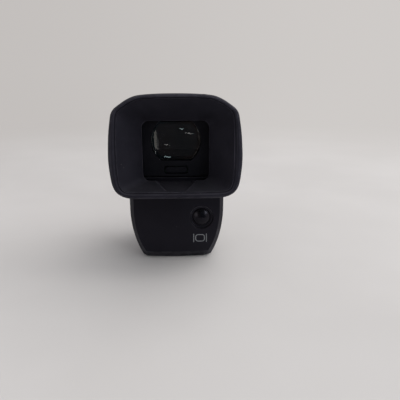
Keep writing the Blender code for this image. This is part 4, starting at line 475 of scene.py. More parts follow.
def make_moulded_grain():
    """Fine texture of a moulded surface: height for the bump, and a mask for the shine."""
    tree, given, end = group_tree(
        "moulded_grain", {"Vector": (0.0, 0.0, 0.0), "Scale": 5000.0, "Coarse Share": 0.35},
        ("Height", "Mask"))
    fine = noise_node(tree, given["Vector"], given["Scale"], detail=2.0, roughness=0.6)
    wide = math_node(tree, "MULTIPLY", given["Scale"], 0.12)
    broad = noise_node(tree, given["Vector"], wide, detail=3.0, roughness=0.5)
    cell = add(tree, "ShaderNodeTexVoronoi",
               {"Vector": given["Vector"], "Scale": given["Scale"]}, feature="SMOOTH_F1")
    pits = spread_node(tree, cell.outputs["Distance"], 0.1, 0.75)
    both = math_node(tree, "ADD", fine, pits)
    half = math_node(tree, "MULTIPLY", broad, 0.5)
    fill(tree, end, {
        "Height": math_node(tree, "MULTIPLY_ADD", broad, given["Coarse Share"], both),
        "Mask": math_node(tree, "MULTIPLY_ADD", fine, 0.5, half)})
    return tree


def make_edge_band():
    """Broken band along the marked edges, with a few rubs on the flats; on the eyecup and the
    panel's lower slope the band is also painted highlight and painted reflection.
    """
    tree, given, end = group_tree(
        "edge_wear_and_highlight", {"Vector": (0.0, 0.0, 0.0), "Edge": 0.0, "Amount": 0.5, "Rubs": 0.1},
        ("Mask",))
    coarse = noise_node(tree, given["Vector"], 420.0, detail=4.0, roughness=0.6)
    patches = spread_node(tree, coarse, 0.38, 0.62, 0.25, 1.0)
    along = math_node(tree, "MULTIPLY", given["Edge"], patches)
    edge_tone = math_node(tree, "MULTIPLY", along, given["Amount"])
    broad = noise_node(tree, given["Vector"], 95.0, detail=5.0, roughness=0.65)
    lightened = spread_node(tree, broad, 0.56, 0.74)
    flats = math_node(tree, "MULTIPLY", lightened, given["Rubs"])
    fill(tree, end, {"Mask": math_node(tree, "ADD", edge_tone, flats, clamp=True)})
    return tree


def make_dust():
    """Sparse pale specks and a faint film, thicker on faces that look up."""
    tree, given, end = group_tree("dust", {"Vector": (0.0, 0.0, 0.0), "Amount": 0.3},
                                  ("Mask",))
    cell = add(tree, "ShaderNodeTexVoronoi", {"Vector": given["Vector"], "Scale": 700.0})
    size = spread_node(tree, cell.outputs["Distance"], 0.05, 0.11, 1.0, 0.0)
    pick = noise_node(tree, given["Vector"], 260.0, detail=1.0)
    chosen = spread_node(tree, pick, 0.60, 0.66)
    specks = math_node(tree, "MULTIPLY", size, chosen)
    facing = tree.nodes.new("ShaderNodeNewGeometry").outputs["Normal"]
    up = math_node(tree, "MAXIMUM", axis_of(tree, facing, "Z"), 0.0)
    haze = noise_node(tree, given["Vector"], 180.0, detail=4.0, roughness=0.6)
    film = math_node(tree, "MULTIPLY", math_node(tree, "MULTIPLY", up, haze), 0.25)
    both = math_node(tree, "ADD", specks, film, clamp=True)
    fill(tree, end, {"Mask": math_node(tree, "MULTIPLY", both, given["Amount"])})
    return tree


GRAIN = make_moulded_grain()
WEAR_AND_HIGHLIGHT = make_edge_band()
DUST = make_dust()


# ---------------------------------------------------------------- materials

def start_material(name):
    made = bpy.data.materials.new(name)
    made.use_nodes = True
    tree = made.node_tree
    place = tree.nodes.new("ShaderNodeTexCoord").outputs["Object"]
    return made, tree, tree.nodes["Principled BSDF"], place


def used(tree, place, colour, edge_tone, edge_amount, rubs, dust, dust_colour):
    """Colour with its marked edges lighter, as scuffs and in places as painted highlight, and
    dust over it, and the masks of both.
    """
    edge = add(tree, "ShaderNodeAttribute", {}, attribute_name="edge").outputs["Fac"]
    lightened = place_group(tree, WEAR_AND_HIGHLIGHT, {"Vector": place, "Edge": edge, "Amount": edge_amount,
                                      "Rubs": rubs})["Mask"]
    specks = place_group(tree, DUST, {"Vector": place, "Amount": dust})["Mask"]
    colour = mix_colour(tree, lightened, colour, edge_tone)
    return mix_colour(tree, specks, colour, dust_colour), lightened, specks


def moulded(name, dark, light, edge_tone, rough, grain, bump, edge_amount=0.5, rubs=0.1, dust=0.25,
            level=0.5, sheen_tint=(1.0, 1.0, 1.0)):
    """Moulded plastic or rubber: grain, slow change of tone, lighter edges that are scuffs and
    in places painted highlight, and a little dust.
    """
    made, tree, shader, place = start_material(name)
    texture = place_group(tree, GRAIN, {"Vector": place, "Scale": grain,
                                        "Coarse Share": 0.35})
    cloud = noise_node(tree, place, 140.0, detail=5.0, roughness=0.6)
    base = mix_colour(tree, spread_node(tree, cloud, 0.35, 0.68), dark, light)
    colour, lightened, specks = used(tree, place, base, edge_tone, edge_amount, rubs, dust,
                                  (0.34, 0.33, 0.31))
    shine = math_node(tree, "MULTIPLY_ADD", texture["Mask"], 0.16, rough - 0.08)
    shine = math_node(tree, "MULTIPLY_ADD", lightened, -0.16, shine)
    shine = math_node(tree, "MULTIPLY_ADD", specks, 0.3, shine, clamp=True)
    fill(tree, shader, {"Base Color": colour, "Roughness": shine, "Specular IOR Level": level,
                        "Specular Tint": (*sheen_tint, 1.0)})
    raise_grain(tree, shader, texture["Height"], bump, 0.03 * MM)
    return made


def metal(name, colour, dark, rough, streak):
    """Metal with fine streaks along one direction."""
    made, tree, shader, place = start_material(name)
    lines = noise_node(tree, stretched(tree, place, streak), 1.0, detail=4.0, roughness=0.7)
    broad = noise_node(tree, place, 160.0, detail=4.0, roughness=0.6)
    base = mix_colour(tree, spread_node(tree, lines, 0.3, 0.7), dark, colour)
    bright = tuple(min(1.0, part * 1.15) for part in colour)
    base = used(tree, place, base, bright, 0.3, 0.15, 0.15, (0.3, 0.29, 0.27))[0]
    shine = math_node(tree, "MULTIPLY_ADD", lines, 0.16, rough - 0.08)
    shine = math_node(tree, "MULTIPLY_ADD", broad, 0.12, shine)
    fill(tree, shader, {"Base Color": base, "Roughness": shine, "Metallic": 1.0})
    raise_grain(tree, shader, lines, 0.12, 0.01 * MM)
    return made


def coated_glass(name, tint, bend):
    """Clear lens glass with faint wiping marks."""
    made, tree, shader, place = start_material(name)
    wiped = noise_node(tree, place, 240.0, detail=4.0, roughness=0.6)
    fill(tree, shader, {"Base Color": (*tint, 1.0), "Transmission Weight": 1.0, "IOR": bend,
                        "Roughness": spread_node(tree, wiped, 0.45, 0.75, 0.012, 0.04)})
    return made


def lacquered_board(name):
    """Green board with darker tracks under its lacquer."""
    made, tree, shader, place = start_material(name)
    bricks = add(tree, "ShaderNodeTexBrick", {
        "Vector": place, "Scale": 900.0, "Mortar Size": 0.06,
        "Color1": (0.012, 0.07, 0.03, 1.0), "Color2": (0.02, 0.10, 0.045, 1.0),
        "Mortar": (0.03, 0.15, 0.07, 1.0)})
    specks = place_group(tree, DUST, {"Vector": place, "Amount": 0.3})["Mask"]
    colour = mix_colour(tree, specks, bricks.outputs["Color"], (0.35, 0.34, 0.3))
    tone = noise_node(tree, place, 500.0, detail=3.0)
    fill(tree, shader, {"Base Color": colour,
                        "Roughness": spread_node(tree, tone, 0.3, 0.7, 0.28, 0.42)})
    return made


def amber_film(name):
    """Flexible circuit: amber film with copper tracks along it."""
    made, tree, shader, place = start_material(name)
    along = stretched(tree, place, (60.0, 3200.0, 60.0))
    tracks = spread_node(tree, noise_node(tree, along, 1.0, detail=0.0), 0.48, 0.52)
    colour = mix_colour(tree, tracks, (0.33, 0.15, 0.035), (0.45, 0.24, 0.08))
    tone = noise_node(tree, place, 700.0, detail=3.0)
    fill(tree, shader, {"Base Color": colour,
                        "Roughness": spread_node(tree, tone, 0.3, 0.7, 0.3, 0.45)})
    return made


def pale_print(name):
    """Pale grey ink with slightly uneven cover."""
    made, tree, shader, place = start_material(name)
    cloud = noise_node(tree, place, 2600.0, detail=4.0, roughness=0.7)
    cover = spread_node(tree, cloud, 0.3, 0.62)
    fill(tree, shader, {
        "Base Color": mix_colour(tree, cover, (0.15, 0.155, 0.17), (0.27, 0.28, 0.30)),
        "Roughness": spread_node(tree, cover, 0.0, 1.0, 0.62, 0.48)})
    return made


COOL = (0.84, 0.80, 1.0)
# Edge tone of the rubber is lighter than scuffs alone: it paints highlight lines on the eyecup's
# rims and notch.
RUBBER = moulded(
    "eyecup_rubber", (0.0130, 0.0126, 0.0180), (0.0180, 0.0174, 0.0242),
    (0.070, 0.068, 0.086), rough=0.60, grain=5200.0, bump=0.35, edge_amount=0.62, rubs=0.03,
    dust=0.22, level=0.18, sheen_tint=COOL)
# Edge tone of the shell also paints the reflection of the table on the panel's lower slope.
SHELL = moulded(
    "moulded_shell_black", (0.0030, 0.0029, 0.0048), (0.0042, 0.0040, 0.0064),
    (0.042, 0.042, 0.051), rough=0.44, grain=6200.0, bump=0.30, edge_amount=0.55, rubs=0.03,
    dust=0.14, level=0.28, sheen_tint=COOL)
GLOSS = moulded(
    "button_gloss_black", (0.0016, 0.0016, 0.0024), (0.0024, 0.0024, 0.0034),
    (0.010, 0.010, 0.013), rough=0.22, grain=9000.0, bump=0.06, edge_amount=0.3, rubs=0.04,
    dust=0.12, level=0.24, sheen_tint=COOL)
INNER = moulded(
    "inner_matt_black", (0.0058, 0.0058, 0.0090), (0.0080, 0.0080, 0.0122),
    (0.010, 0.010, 0.013), rough=0.68, grain=7000.0, bump=0.30, edge_amount=0.2, rubs=0.03,
    dust=0.06, level=0.12)
SCREEN = moulded(
    "display_dark_glass", (0.0078, 0.0070, 0.0086), (0.0094, 0.0086, 0.0106),
    (0.012, 0.013, 0.016), rough=0.30, grain=1500.0, bump=0.01, edge_amount=0.0, rubs=0.0,
    dust=0.02)
WHITE = moulded(
    "light_guide_white", (0.70, 0.70, 0.68), (0.82, 0.82, 0.80), (0.88, 0.88, 0.86),
    rough=0.35, grain=3000.0, bump=0.1, edge_amount=0.2, rubs=0.05, dust=0.1)
STEEL = metal("screw_steel", (0.56, 0.56, 0.57), (0.40, 0.40, 0.41), rough=0.34,
              streak=(900.0, 900.0, 9000.0))
FOOT_METAL = metal("foot_satin_aluminium", (0.68, 0.68, 0.69), (0.50, 0.50, 0.51),
                   rough=0.40, streak=(9000.0, 260.0, 9000.0))
BRASS = metal("contact_gilt", (0.83, 0.61, 0.25), (0.62, 0.43, 0.16), rough=0.26,
              streak=(700.0, 9000.0, 700.0))
BOARD = lacquered_board("board_green_lacquer")
FLEX = amber_film("flex_amber_film")
LENS = coated_glass("lens_coated_glass", (0.98, 0.985, 0.985), bend=1.42)
INNER_GLASS = coated_glass("inner_lens_glass", (0.97, 0.98, 0.98), bend=1.05)
PRINT = pale_print("mark_pale_ink")
SLOT_MATERIALS = {"shell": SHELL, "rubber": RUBBER, "gloss": GLOSS, "inner": INNER,
                  "steel": STEEL, "foot": FOOT_METAL, "contact": BRASS, "board": BOARD,
                  "flex": FLEX, "glass": INNER_GLASS, "display": SCREEN, "white": WHITE}


def paint(thing, material):
    thing.data.materials.clear()
    thing.data.materials.append(material)


def stand(piece, material, body, node=None):
    """Paint a piece, hang it under its body, and hide the CAD node that it stands for."""
    paint(piece, material)
    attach(piece, body)
    if node:
        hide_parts(node)


# ---------------------------------------------------------------- eyecup

def through(points, steps):
    """Smooth closed curve through points, with the same number of steps on each span."""
    spots = np.array(points)
    before = np.roll(spots, 1, 0)
    end = np.roll(spots, -1, 0)
    after = np.roll(spots, -2, 0)
    pieces = []
    for step in range(steps):
        t = step / steps
        pieces.append((2 * spots + (end - before) * t
                       + (2 * before - 5 * spots + 4 * end - after) * t * t
                       + (3 * spots - before - 3 * end + after) * t * t * t) / 2)
    return np.stack(pieces, 1).reshape(-1, 2)


def cup_outline(shares, half_width, half_height):
    right = [(x * half_width, z * half_height) for x, z in shares]
    left = [(-x, z) for x, z in reversed(right[1:-1])]
    return through(right + left, OUTLINE_STEPS)


def cup_directions():
    """Directions round the eyecup: close together at the notch, wider elsewhere."""
    half = math.radians(NOTCH_ANGLE)
    bottom = -math.pi / 2
    near = [bottom - half + 2 * half * step / NOTCH_STEPS for step in range(NOTCH_STEPS)]
    rest = 2 * math.pi - 2 * half
    far = [bottom + half + rest * step / ROUND_STEPS for step in range(ROUND_STEPS)]
    return np.array(near + far)


def corner_directions(high, low):
    """Directions of the axes and the corners all round, from the two corners on the right."""
    return (-90.0, low, 0.0, high, 90.0, 180.0 - high, 180.0, 180.0 - low, 270.0)


def opening_directions(angles):
    """Directions to the opening that join its corners to the corners of the funnel."""
    turned_to = np.interp(np.mod(np.degrees(angles) + 90.0, 360.0) - 90.0,
                          corner_directions(*FUNNEL_CORNERS),
                          corner_directions(*OPENING_CORNERS))
    return np.radians(turned_to)


ANGLES = cup_directions()


def cup_ring(outline, middle_z, angles=ANGLES):
    """Points (x, z) where directions from the outline's middle meet it."""
    start = np.array(outline)
    along = np.roll(start, -1, 0) - start
    directions = np.stack((np.cos(angles), np.sin(angles)), 1)
    reach = np.zeros(len(directions))
    for number, direction in enumerate(directions):
        cross = direction[0] * along[:, 1] - direction[1] * along[:, 0]
        met = np.abs(cross) > TINY
        safe = np.where(met, cross, 1.0)
        distance = (start[:, 0] * along[:, 1] - start[:, 1] * along[:, 0]) / safe
        share = (start[:, 0] * direction[1] - start[:, 1] * direction[0]) / safe
        good = met & (distance > 0) & (share >= -SLACK) & (share <= 1 + SLACK)
        reach[number] = distance[good].max()
    ring = directions * reach[:, None]
    ring[:, 1] += middle_z
    return ring


def ring_at(flat, y):
    return np.stack((flat[:, 0], np.full(len(flat), y), flat[:, 1]), 1)


def between(first, second, share):
    return first + (second - first) * share


def notch_share(y):
    return (y - NOTCH_REAR) / (NOTCH_FRONT - NOTCH_REAR)


def notch_sunk(ring):
    """Lower the points of a ring that lie in the notch at the bottom of the opening."""
    share = np.clip(notch_share(ring[:, 1]), 0, 1)
    floor_half = between(*NOTCH_FLOOR_HALF, share)
    top_half = between(*NOTCH_TOP_HALF, share)
    slope = np.clip((top_half - np.abs(ring[:, 0])) / (top_half - floor_half), 0, 1)
    low = np.minimum(ring[:, 2], between(*NOTCH_FLOOR_Z, notch_share(ring[:, 1])))
    is_floor = ring[:, 2] < FUNNEL_FLOOR_TOP
    sunk = ring.copy()
    sunk[:, 2] = np.where(is_floor, ring[:, 2] + (low - ring[:, 2]) * slope, ring[:, 2])
    return sunk


def notch_kept(ring):
    """Carry the notch's floor through the wider room behind the opening."""
    wall = np.clip((NOTCH_FLOOR_HALF[1] + NOTCH_WALL - np.abs(ring[:, 0])) / NOTCH_WALL, 0, 1)
    floor = NOTCH_FLOOR_Z[1] + NOTCH_SLOPE * (ring[:, 1] - NOTCH_FRONT)
    is_floor = ring[:, 2] < FUNNEL_FLOOR_TOP
    kept = ring.copy()
    raised = np.maximum(floor - ring[:, 2], 0)
    kept[:, 2] = np.where(is_floor, ring[:, 2] + raised * wall, ring[:, 2])
    return kept


def mark_notch_highlight(cup):
    """Mark the two upper edges of the notch as proud, for a painted highlight line in the
    lighter edge tone.
    """
    x, y, z = read_vectors(cup.data.vertices, "co").T
    top_half = between(*NOTCH_TOP_HALF, np.clip(notch_share(y), 0, 1))
    floor_z = between(*NOTCH_FLOOR_Z, notch_share(y))
    near = 1 - np.abs(np.abs(x) - top_half) / NOTCH_LINE
    near[(y < NOTCH_REAR) | (y > NOTCH_FRONT + OPENING_EDGE)] = 0
    near[(z > FUNNEL_FLOOR_TOP) | (z < floor_z - NOTCH_LINE)] = 0
    layer = cup.data.attributes["edge"].data
    proud = np.zeros(len(layer))
    layer.foreach_get("value", proud)
    layer.foreach_set("value", np.maximum(proud, np.clip(near, 0, 1)).astype(np.float32))


def make_eyecup():
    """Rubber eyecup: flaring skirt, lip with a parting line and a groove, and a funnel."""
    outer = cup_ring(cup_outline(RIM_SHARES, CUP_WIDTH / 2, CUP_HEIGHT / 2), CUP_Z)
    inner = cup_ring(cup_outline(FUNNEL_SHARES, FUNNEL_WIDTH / 2,
                                 (FUNNEL_HIGH + FUNNEL_LOW) / 2),
                     CUP_Z + (FUNNEL_HIGH - FUNNEL_LOW) / 2)
    skirt = cup_ring(rounded_box(SKIRT_WIDTH, SKIRT_HEIGHT, SKIRT_CORNER), SKIRT_Z)
    aimed = opening_directions(ANGLES)
    opening = cup_ring(rounded_box(OPENING_WIDTH, OPENING_HIGH - OPENING_LOW, OPENING_CORNER),
                       (OPENING_HIGH + OPENING_LOW) / 2, aimed)
    room = cup_ring(rounded_box(ROOM_WIDTH, ROOM_HIGH + ROOM_LOW, ROOM_CORNER),
                    HINGE_Z + (ROOM_HIGH - ROOM_LOW) / 2, aimed)
    length = CUP_FRONT - (CUP_REAR + LIP_SECTION[0][1] * MM)
    positions, flares = zip(*SKIRT_SHARES)
    rings = []
    for step in range(SKIRT_STEPS):
        along = step / SKIRT_STEPS
        near = np.clip((along - SKIRT_BLEND, along, along + SKIRT_BLEND), 0, 1)
        before, flare, ahead = np.interp(near, positions, flares)
        soft = (flare + before + ahead) / 3 if step else flare
        rings.append(ring_at(between(skirt, outer, soft), CUP_FRONT - length * along))
    for share, depth in LIP_SECTION:
        rings.append(ring_at(between(outer, inner, share), CUP_REAR + depth * MM))
    funnel_y = CUP_REAR + LIP_SECTION[-1][1] * MM
    opening_y = CUP_REAR + OPENING_DEPTH
    share, depth = FUNNEL_MOUTH
    rings.append(ring_at(between(inner, opening, share), funnel_y + depth))
    for step in range(FUNNEL_STEPS + 1):
        share = FUNNEL_START + (1 - FUNNEL_START) * step / FUNNEL_STEPS
        ring = ring_at(between(inner, opening, share), funnel_y + (opening_y - funnel_y) * share)
        rings.append(notch_sunk(ring))
    for angle in quarter_turn(4)[1:]:
        inset = OPENING_EDGE / 2 * (1 - math.cos(angle)) * OPENING_EDGE_SHARE
        flat = opening * (1 + inset / np.abs(opening).max())
        ring = ring_at(flat, opening_y + OPENING_EDGE / 2 * math.sin(angle))
        rings.append(notch_sunk(ring))
    rings.append(notch_sunk(ring_at(flat, opening_y + OPENING_EDGE)))
    rings += [notch_kept(ring_at(room, y)) for y in (opening_y + OPENING_EDGE, CUP_FRONT)]
    cup = lofted("rubber_eyecup", rings, closed=True)
    cup.data.shade_smooth()
    cup.data.set_sharp_from_angle(angle=math.radians(42))
    # Proud rims and the notch's edges take the lighter edge tone: partly scuffing, partly
    # painted highlight lines.
    mark_curved(cup, *CUP_PROUD)
    mark_notch_highlight(cup)
    stand(cup, RUBBER, "eyecup", "eyecup")


# ---------------------------------------------------------------- lens

def lens_outline(radius, half):
    """Circle cut flat above and below, as points at fixed directions."""
    points = []
    for angle in full_turn(LENS_STEPS):
        reach = min(radius, half / max(abs(math.sin(angle)), TINY))
        points.append((reach * math.cos(angle), reach * math.sin(angle)))
    return np.array(points)


def sag(x, z, radius):
    return radius - math.sqrt(radius * radius - x * x - z * z)


def curved_ring(flat, vertex, curve, way=1):
    """Ring on a curved face of the lens, whose middle is at vertex."""
    return [(x, vertex + way * sag(x, z, curve), LENS_Z + z) for x, z in flat]


def make_lens():
    """Eyepiece lens: curved faces, ground chamfer and a flange behind the frame."""
    front = lens_outline(LENS_CLEAR, LENS_HALF)
    flange = lens_outline(LENS_FLANGE, LENS_FLANGE_HALF)
    rim = 1 - LENS_CHAMFER / LENS_CLEAR
    shares = [max(step / LENS_ROWS, LENS_POLE) for step in range(LENS_ROWS + 1)]
    rings = [curved_ring(front * share * rim, LENS_VERTEX, LENS_CURVE) for share in shares]
    rings.append(curved_ring(front, LENS_VERTEX + LENS_CHAMFER, LENS_CURVE))
    for flat, y in ((front, LENS_SEAT), (flange, LENS_SEAT), (flange, LENS_BACK)):
        rings.append([(x, y, LENS_Z + z) for x, z in flat])
    vertex = LENS_BACK + sag(LENS_FLANGE, 0, LENS_BACK_CURVE)
    rings += [curved_ring(flange * share, vertex, LENS_BACK_CURVE, -1)
              for share in reversed(shares)]
    lens = lofted("eyepiece_glass", rings)
    smooth(lens, 25)
    stand(lens, LENS, "finder", "eyepiece_lens")


# ---------------------------------------------------------------- rear panel

def low_share(z):
    """0 at the underside of the base, 1 at the lower end of the block."""
    return min(max((BASE_BOTTOM - z) / (BASE_BOTTOM + DROP_REACH), 0.0), 1.0)


def drop_outline(inset, low_inset):
    """Rear view of the block: sides that curve in, round corners and a bowed lower edge."""
    half = BODY_WIDTH / 2 - inset
    radius = DROP_SIDE_RADIUS - inset
    corner = DROP_CORNER_RADIUS - inset
    bottom = -DROP_REACH + inset
    centre = (half - radius, BASE_BOTTOM)
    corner_z = bottom + corner
    turn = math.degrees(math.asin((BASE_BOTTOM - corner_z) / (radius - corner)))
    corner_x = centre[0] + (radius - corner) * math.cos(math.radians(turn))
    right = [(half, BASE_TOP - inset)]
    right += arc(centre, radius, 0, -turn, SIDE_STEPS)
    right += arc((corner_x, corner_z), corner, -turn, -90, SIDE_STEPS // 2)[1:]
    right += [(corner_x * step / LOW_STEPS, bottom) for step in range(LOW_STEPS - 1, 0, -1)]
    left = [(-x, z) for x, z in reversed(right)]
    lift = low_inset - inset
    outline = []
    for x, z in right + [(0.0, bottom)] + left:
        share = low_share(z)
        bow = DROP_BOW * (2 * x / BODY_WIDTH) ** 2
        outline.append((x, z + share ** 6 * bow + share ** 3 * lift))
    return outline


def recess_profile():
    """Cutter of the button's recess, its mouth rounded where it leaves the face."""
    mouth = RECESS_RADIUS + RECESS_ROUND
    floor = RECESS_RADIUS - GAP
    profile = [(0, -CUTTER_STAND), (mouth, -CUTTER_STAND)]
    profile += [(mouth - RECESS_ROUND * math.sin(angle), RECESS_ROUND * (1 - math.cos(angle)))
                for angle in quarter_turn(6)]
    outer, inner = RECESS_FOOT
    return profile + [(floor + outer, RECESS_DEPTH - outer), (floor - inner, RECESS_DEPTH),
                      (0, RECESS_DEPTH)]


def mark_slope_reflection(panel):
    """Mark the sloping lower edge of the panel as the attribute edge, for a painted reflection
    of the pale table in the lighter edge tone.
    """
    layer = panel.data.attributes.new("edge", "FLOAT", "FACE")
    low, high = SLOPE_REARWARD
    values = [float(face.normal.z < SLOPE_DOWNWARD and low < face.normal.y < high)
              for face in panel.data.polygons]
    layer.data.foreach_set("value", values)


def make_panel():
    """Rear panel: bowed block with sloping edges, a dished recess and the button's hole."""
    rings = []
    for depth, share in PANEL_SLOPE:
        outline = drop_outline(PANEL_SIDE_SLOPE * share, PANEL_LOW_SLOPE * share)
        rings.append([(x, PANEL_FACE + PANEL_SLOPE_DEPTH * depth, z) for x, z in outline])
    panel = lofted("rear_control_panel", rings)
    reach = BUTTON_RADIUS + GAP / 2
    hole_profile = [(0, 0), (reach, 0), (reach, CUTTER_LENGTH), (0, CUTTER_LENGTH)]
    for name, profile in (("recess_tool", recess_profile()), ("hole_tool", hole_profile)):
        cut_away(panel, turned(name, profile, (BUTTON_X, PANEL_FACE, BUTTON_Z)))
    # Lower slope: lighter edge tone as a painted reflection of the table.
    mark_slope_reflection(panel)
    smooth(panel, 32)
    stand(panel, SHELL, "base", "rear_panel")


def make_button():
    """Round button: a soft dome with a turned edge, and the shaft under it."""
    top = PANEL_FACE - BUTTON_STAND
    flat = BUTTON_RADIUS - BUTTON_EDGE
    profile = []
    for step in range(DOME_STEPS + 1):
        share = step / DOME_STEPS
        profile.append((flat * share, BUTTON_DROP * share * share))
    for angle in quarter_turn(6)[1:]:
        profile.append((flat + BUTTON_EDGE * math.sin(angle),
                        BUTTON_DROP + BUTTON_EDGE * (1 - math.cos(angle))))
    flange = BUTTON_RADIUS + 2 * GAP
    seat = PANEL_BACK + GAP - top
    back = PANEL_BACK + 3 * GAP - top
    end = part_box("display_button")[1].y - top
    profile += [(BUTTON_RADIUS, seat), (flange, seat), (flange, back), (SHAFT_RADIUS, back),
                (SHAFT_RADIUS, end), (0, end)]
    button = turned("display_key", profile, (BUTTON_X, top, BUTTON_Z))
    smooth(button, 35)
    mark_curved(button, *BUTTON_PROUD)
    stand(button, GLOSS, "button", "display_button")


def join_pieces(name, pieces):
    shape = bmesh.new()
    for piece in pieces:
        shape.from_mesh(piece.data)
        bpy.data.objects.remove(piece, do_unlink=True)
    mesh = bpy.data.meshes.new(name)
    shape.to_mesh(mesh)
    shape.free()
    return link(name, mesh)


def make_mark():
    """Printed pictogram under the button: a screen between two bars."""
    face = PANEL_FACE - INK_DEPTH
    back = PANEL_FACE + INK_DEPTH
    outer, inner = (rounded_box(SCREEN_WIDTH - 2 * inset, SCREEN_HEIGHT - 2 * inset, corner,
                                MARK_X, MARK_Z)
                    for inset, corner in zip((0.0, MARK_LINE), SCREEN_CORNERS))
    sides = ((outer, back), (outer, face), (inner, face), (inner, back))
    pieces = [lofted("screen", [[(x, y, z) for x, z in outline] for outline, y in sides],
                     closed=True)]
    for side in (-1, 1):
        bar = rounded_box(MARK_LINE, BAR_HEIGHT, 0.1 * MM, MARK_X + side * BAR_REACH, MARK_Z, 3)
        pieces.append(lofted("bar", [[(x, y, z) for x, z in bar] for y in (face, back)]))
    stand(join_pieces("display_pictogram", pieces), PRINT, "base")


# ---------------------------------------------------------------- other pieces

# CAD nodes shown with rounded edges: node, name of its copy, body, slot, material and the
# width of the rounding in mm
DRESSED = (
    ("eyepiece_frame", "eyepiece_surround", "finder", "inner", INNER, 0.10),
    ("sensor_window", "eye_sensor_window", "finder", "gloss", INNER, 0.10),
    ("base_housing", "base_body", "base", "shell", SHELL, 0.14),
    ("shoe_foot", "shoe_plate", "base", "foot", FOOT_METAL, 0.12),
    ("plug_shell", "plug_collar", "base", "steel", STEEL, 0.07),
    ("lock_slider", "lock_slide_knob", "slider", "shell", SHELL, 0.12),
    ("tube_upper_shell", "tube_top_shell", "finder", "shell", SHELL, 0.14),
    ("tube_lower_shell", "tube_bottom_shell", "finder", "shell", SHELL, 0.14),
    ("front_cover", "tube_front_cover", "finder", "shell", SHELL, 0.12),
    ("hinge_cap_left", "left_hinge_cap", "base", "shell", SHELL, 0.12),
    ("hinge_cap_right", "right_hinge_cap", "base", "shell", SHELL, 0.12),
    ("diopter_dial", "dioptre_dial", "dial", "gloss", GLOSS, 0.06))


def paint_nodes():
    """Give every CAD node that stays a material of its own finish."""
    for entry in frame["record"]["subparts"]:
        paint(NODES[entry["node"]], SLOT_MATERIALS[entry["material_slot"]])


def dress_nodes():
    """Stand copies of CAD nodes with finely rounded edges in their places."""
    for node, name, body, slot, material, width in DRESSED:
        stand(bevelled(node, name, width * MM), material, body, node)


# ---------------------------------------------------------------- repeated details

def piece_tree(name, inputs):
    """Geometry node tree with named inputs: the tree, and the sockets of its inputs."""
    tree = bpy.data.node_groups.new(name, "GeometryNodeTree")
    name_inputs(tree, inputs)
    tree.interface.new_socket("Material", in_out="INPUT", socket_type="NodeSocketMaterial")
    tree.interface.new_socket("Geometry", in_out="OUTPUT", socket_type="NodeSocketGeometry")
    return tree, tree.nodes.new("NodeGroupInput").outputs


def repeated(tree, points, piece, **more):
    spread = add(tree, "GeometryNodeInstanceOnPoints",
                 {"Points": points.outputs["Mesh"], "Instance": piece.outputs["Mesh"], **more})
    return spread.outputs["Instances"]


def facing_x(tree, geometry, centre):
    """Geometry made round Z, turned to lie round X, and moved to its centre."""
    return add(tree, "GeometryNodeTransform",
               {"Geometry": geometry, "Rotation": (0.0, math.pi / 2, 0.0),
                "Translation": centre}).outputs["Geometry"]


def finish_tree(tree, given, geometry):
    """Realize the instances and set the material, at the end of a tree."""
    real = add(tree, "GeometryNodeRealizeInstances", {"Geometry": geometry})
    coat = add(tree, "GeometryNodeSetMaterial",
               {"Geometry": real.outputs["Geometry"], "Material": given["Material"]})
    add(tree, "NodeGroupOutput", {"Geometry": coat.outputs["Geometry"]})
    return tree


def make_wheel_ribs():
    """Round ribs on the rim of a wheel that turns about X."""
    tree, given = piece_tree("wheel_ribs", {
        "Centre": (0.0, 0.0, 0.0), "Rim Radius": 4 * MM, "Rib Radius": 0.17 * MM,
        "Rib Length": MM, "Count": 40})
    rim = add(tree, "GeometryNodeMeshCircle",
              {"Vertices": given["Count"], "Radius": given["Rim Radius"]})
    rib = add(tree, "GeometryNodeMeshCylinder",
              {"Vertices": 10, "Radius": given["Rib Radius"], "Depth": given["Rib Length"]})
    ribs = facing_x(tree, repeated(tree, rim, rib), given["Centre"])
    return finish_tree(tree, given, ribs)


def make_bar_row():
    """Straight row of equal bars."""
    tree, given = piece_tree("bar_row", {
        "First": (0.0, 0.0, 0.0), "Step": (0.0, MM, 0.0), "Size": (MM, MM, MM), "Count": 5})
    line = add(tree, "GeometryNodeMeshLine", {
        "Count": given["Count"], "Start Location": given["First"], "Offset": given["Step"]})
    bar = add(tree, "GeometryNodeMeshCube", {"Size": given["Size"]})
    return finish_tree(tree, given, repeated(tree, line, bar))


def make_ring_beads():
    """Raised rings round X, one inside the other."""
    tree, given = piece_tree("ring_beads", {
        "Centre": (0.0, 0.0, 0.0), "Radius": 5 * MM, "Bead": 0.12 * MM, "Inner Share": 0.4,
        "Count": 2})
    ring, bead = (add(tree, "GeometryNodeCurvePrimitiveCircle",
                      {"Resolution": steps, "Radius": given[label]}).outputs["Curve"]
                  for label, steps in (("Radius", 96), ("Bead", 10)))
    tube = add(tree, "GeometryNodeCurveToMesh", {"Curve": ring, "Profile Curve": bead})
    spots = add(tree, "GeometryNodeMeshLine",
                {"Count": given["Count"], "Offset": (0.0, 0.0, 0.0)})
    number = tree.nodes.new("GeometryNodeInputIndex").outputs["Index"]
    size = math_node(tree, "POWER", given["Inner Share"], number)
    sizes = add(tree, "ShaderNodeCombineXYZ", {"X": size, "Y": size, "Z": 1.0})
    rings = repeated(tree, spots, tube, Scale=sizes.outputs["Vector"])
    return finish_tree(tree, given, facing_x(tree, rings, given["Centre"]))


WHEEL_RIBS = make_wheel_ribs()
BAR_ROW = make_bar_row()
RING_BEADS = make_ring_beads()


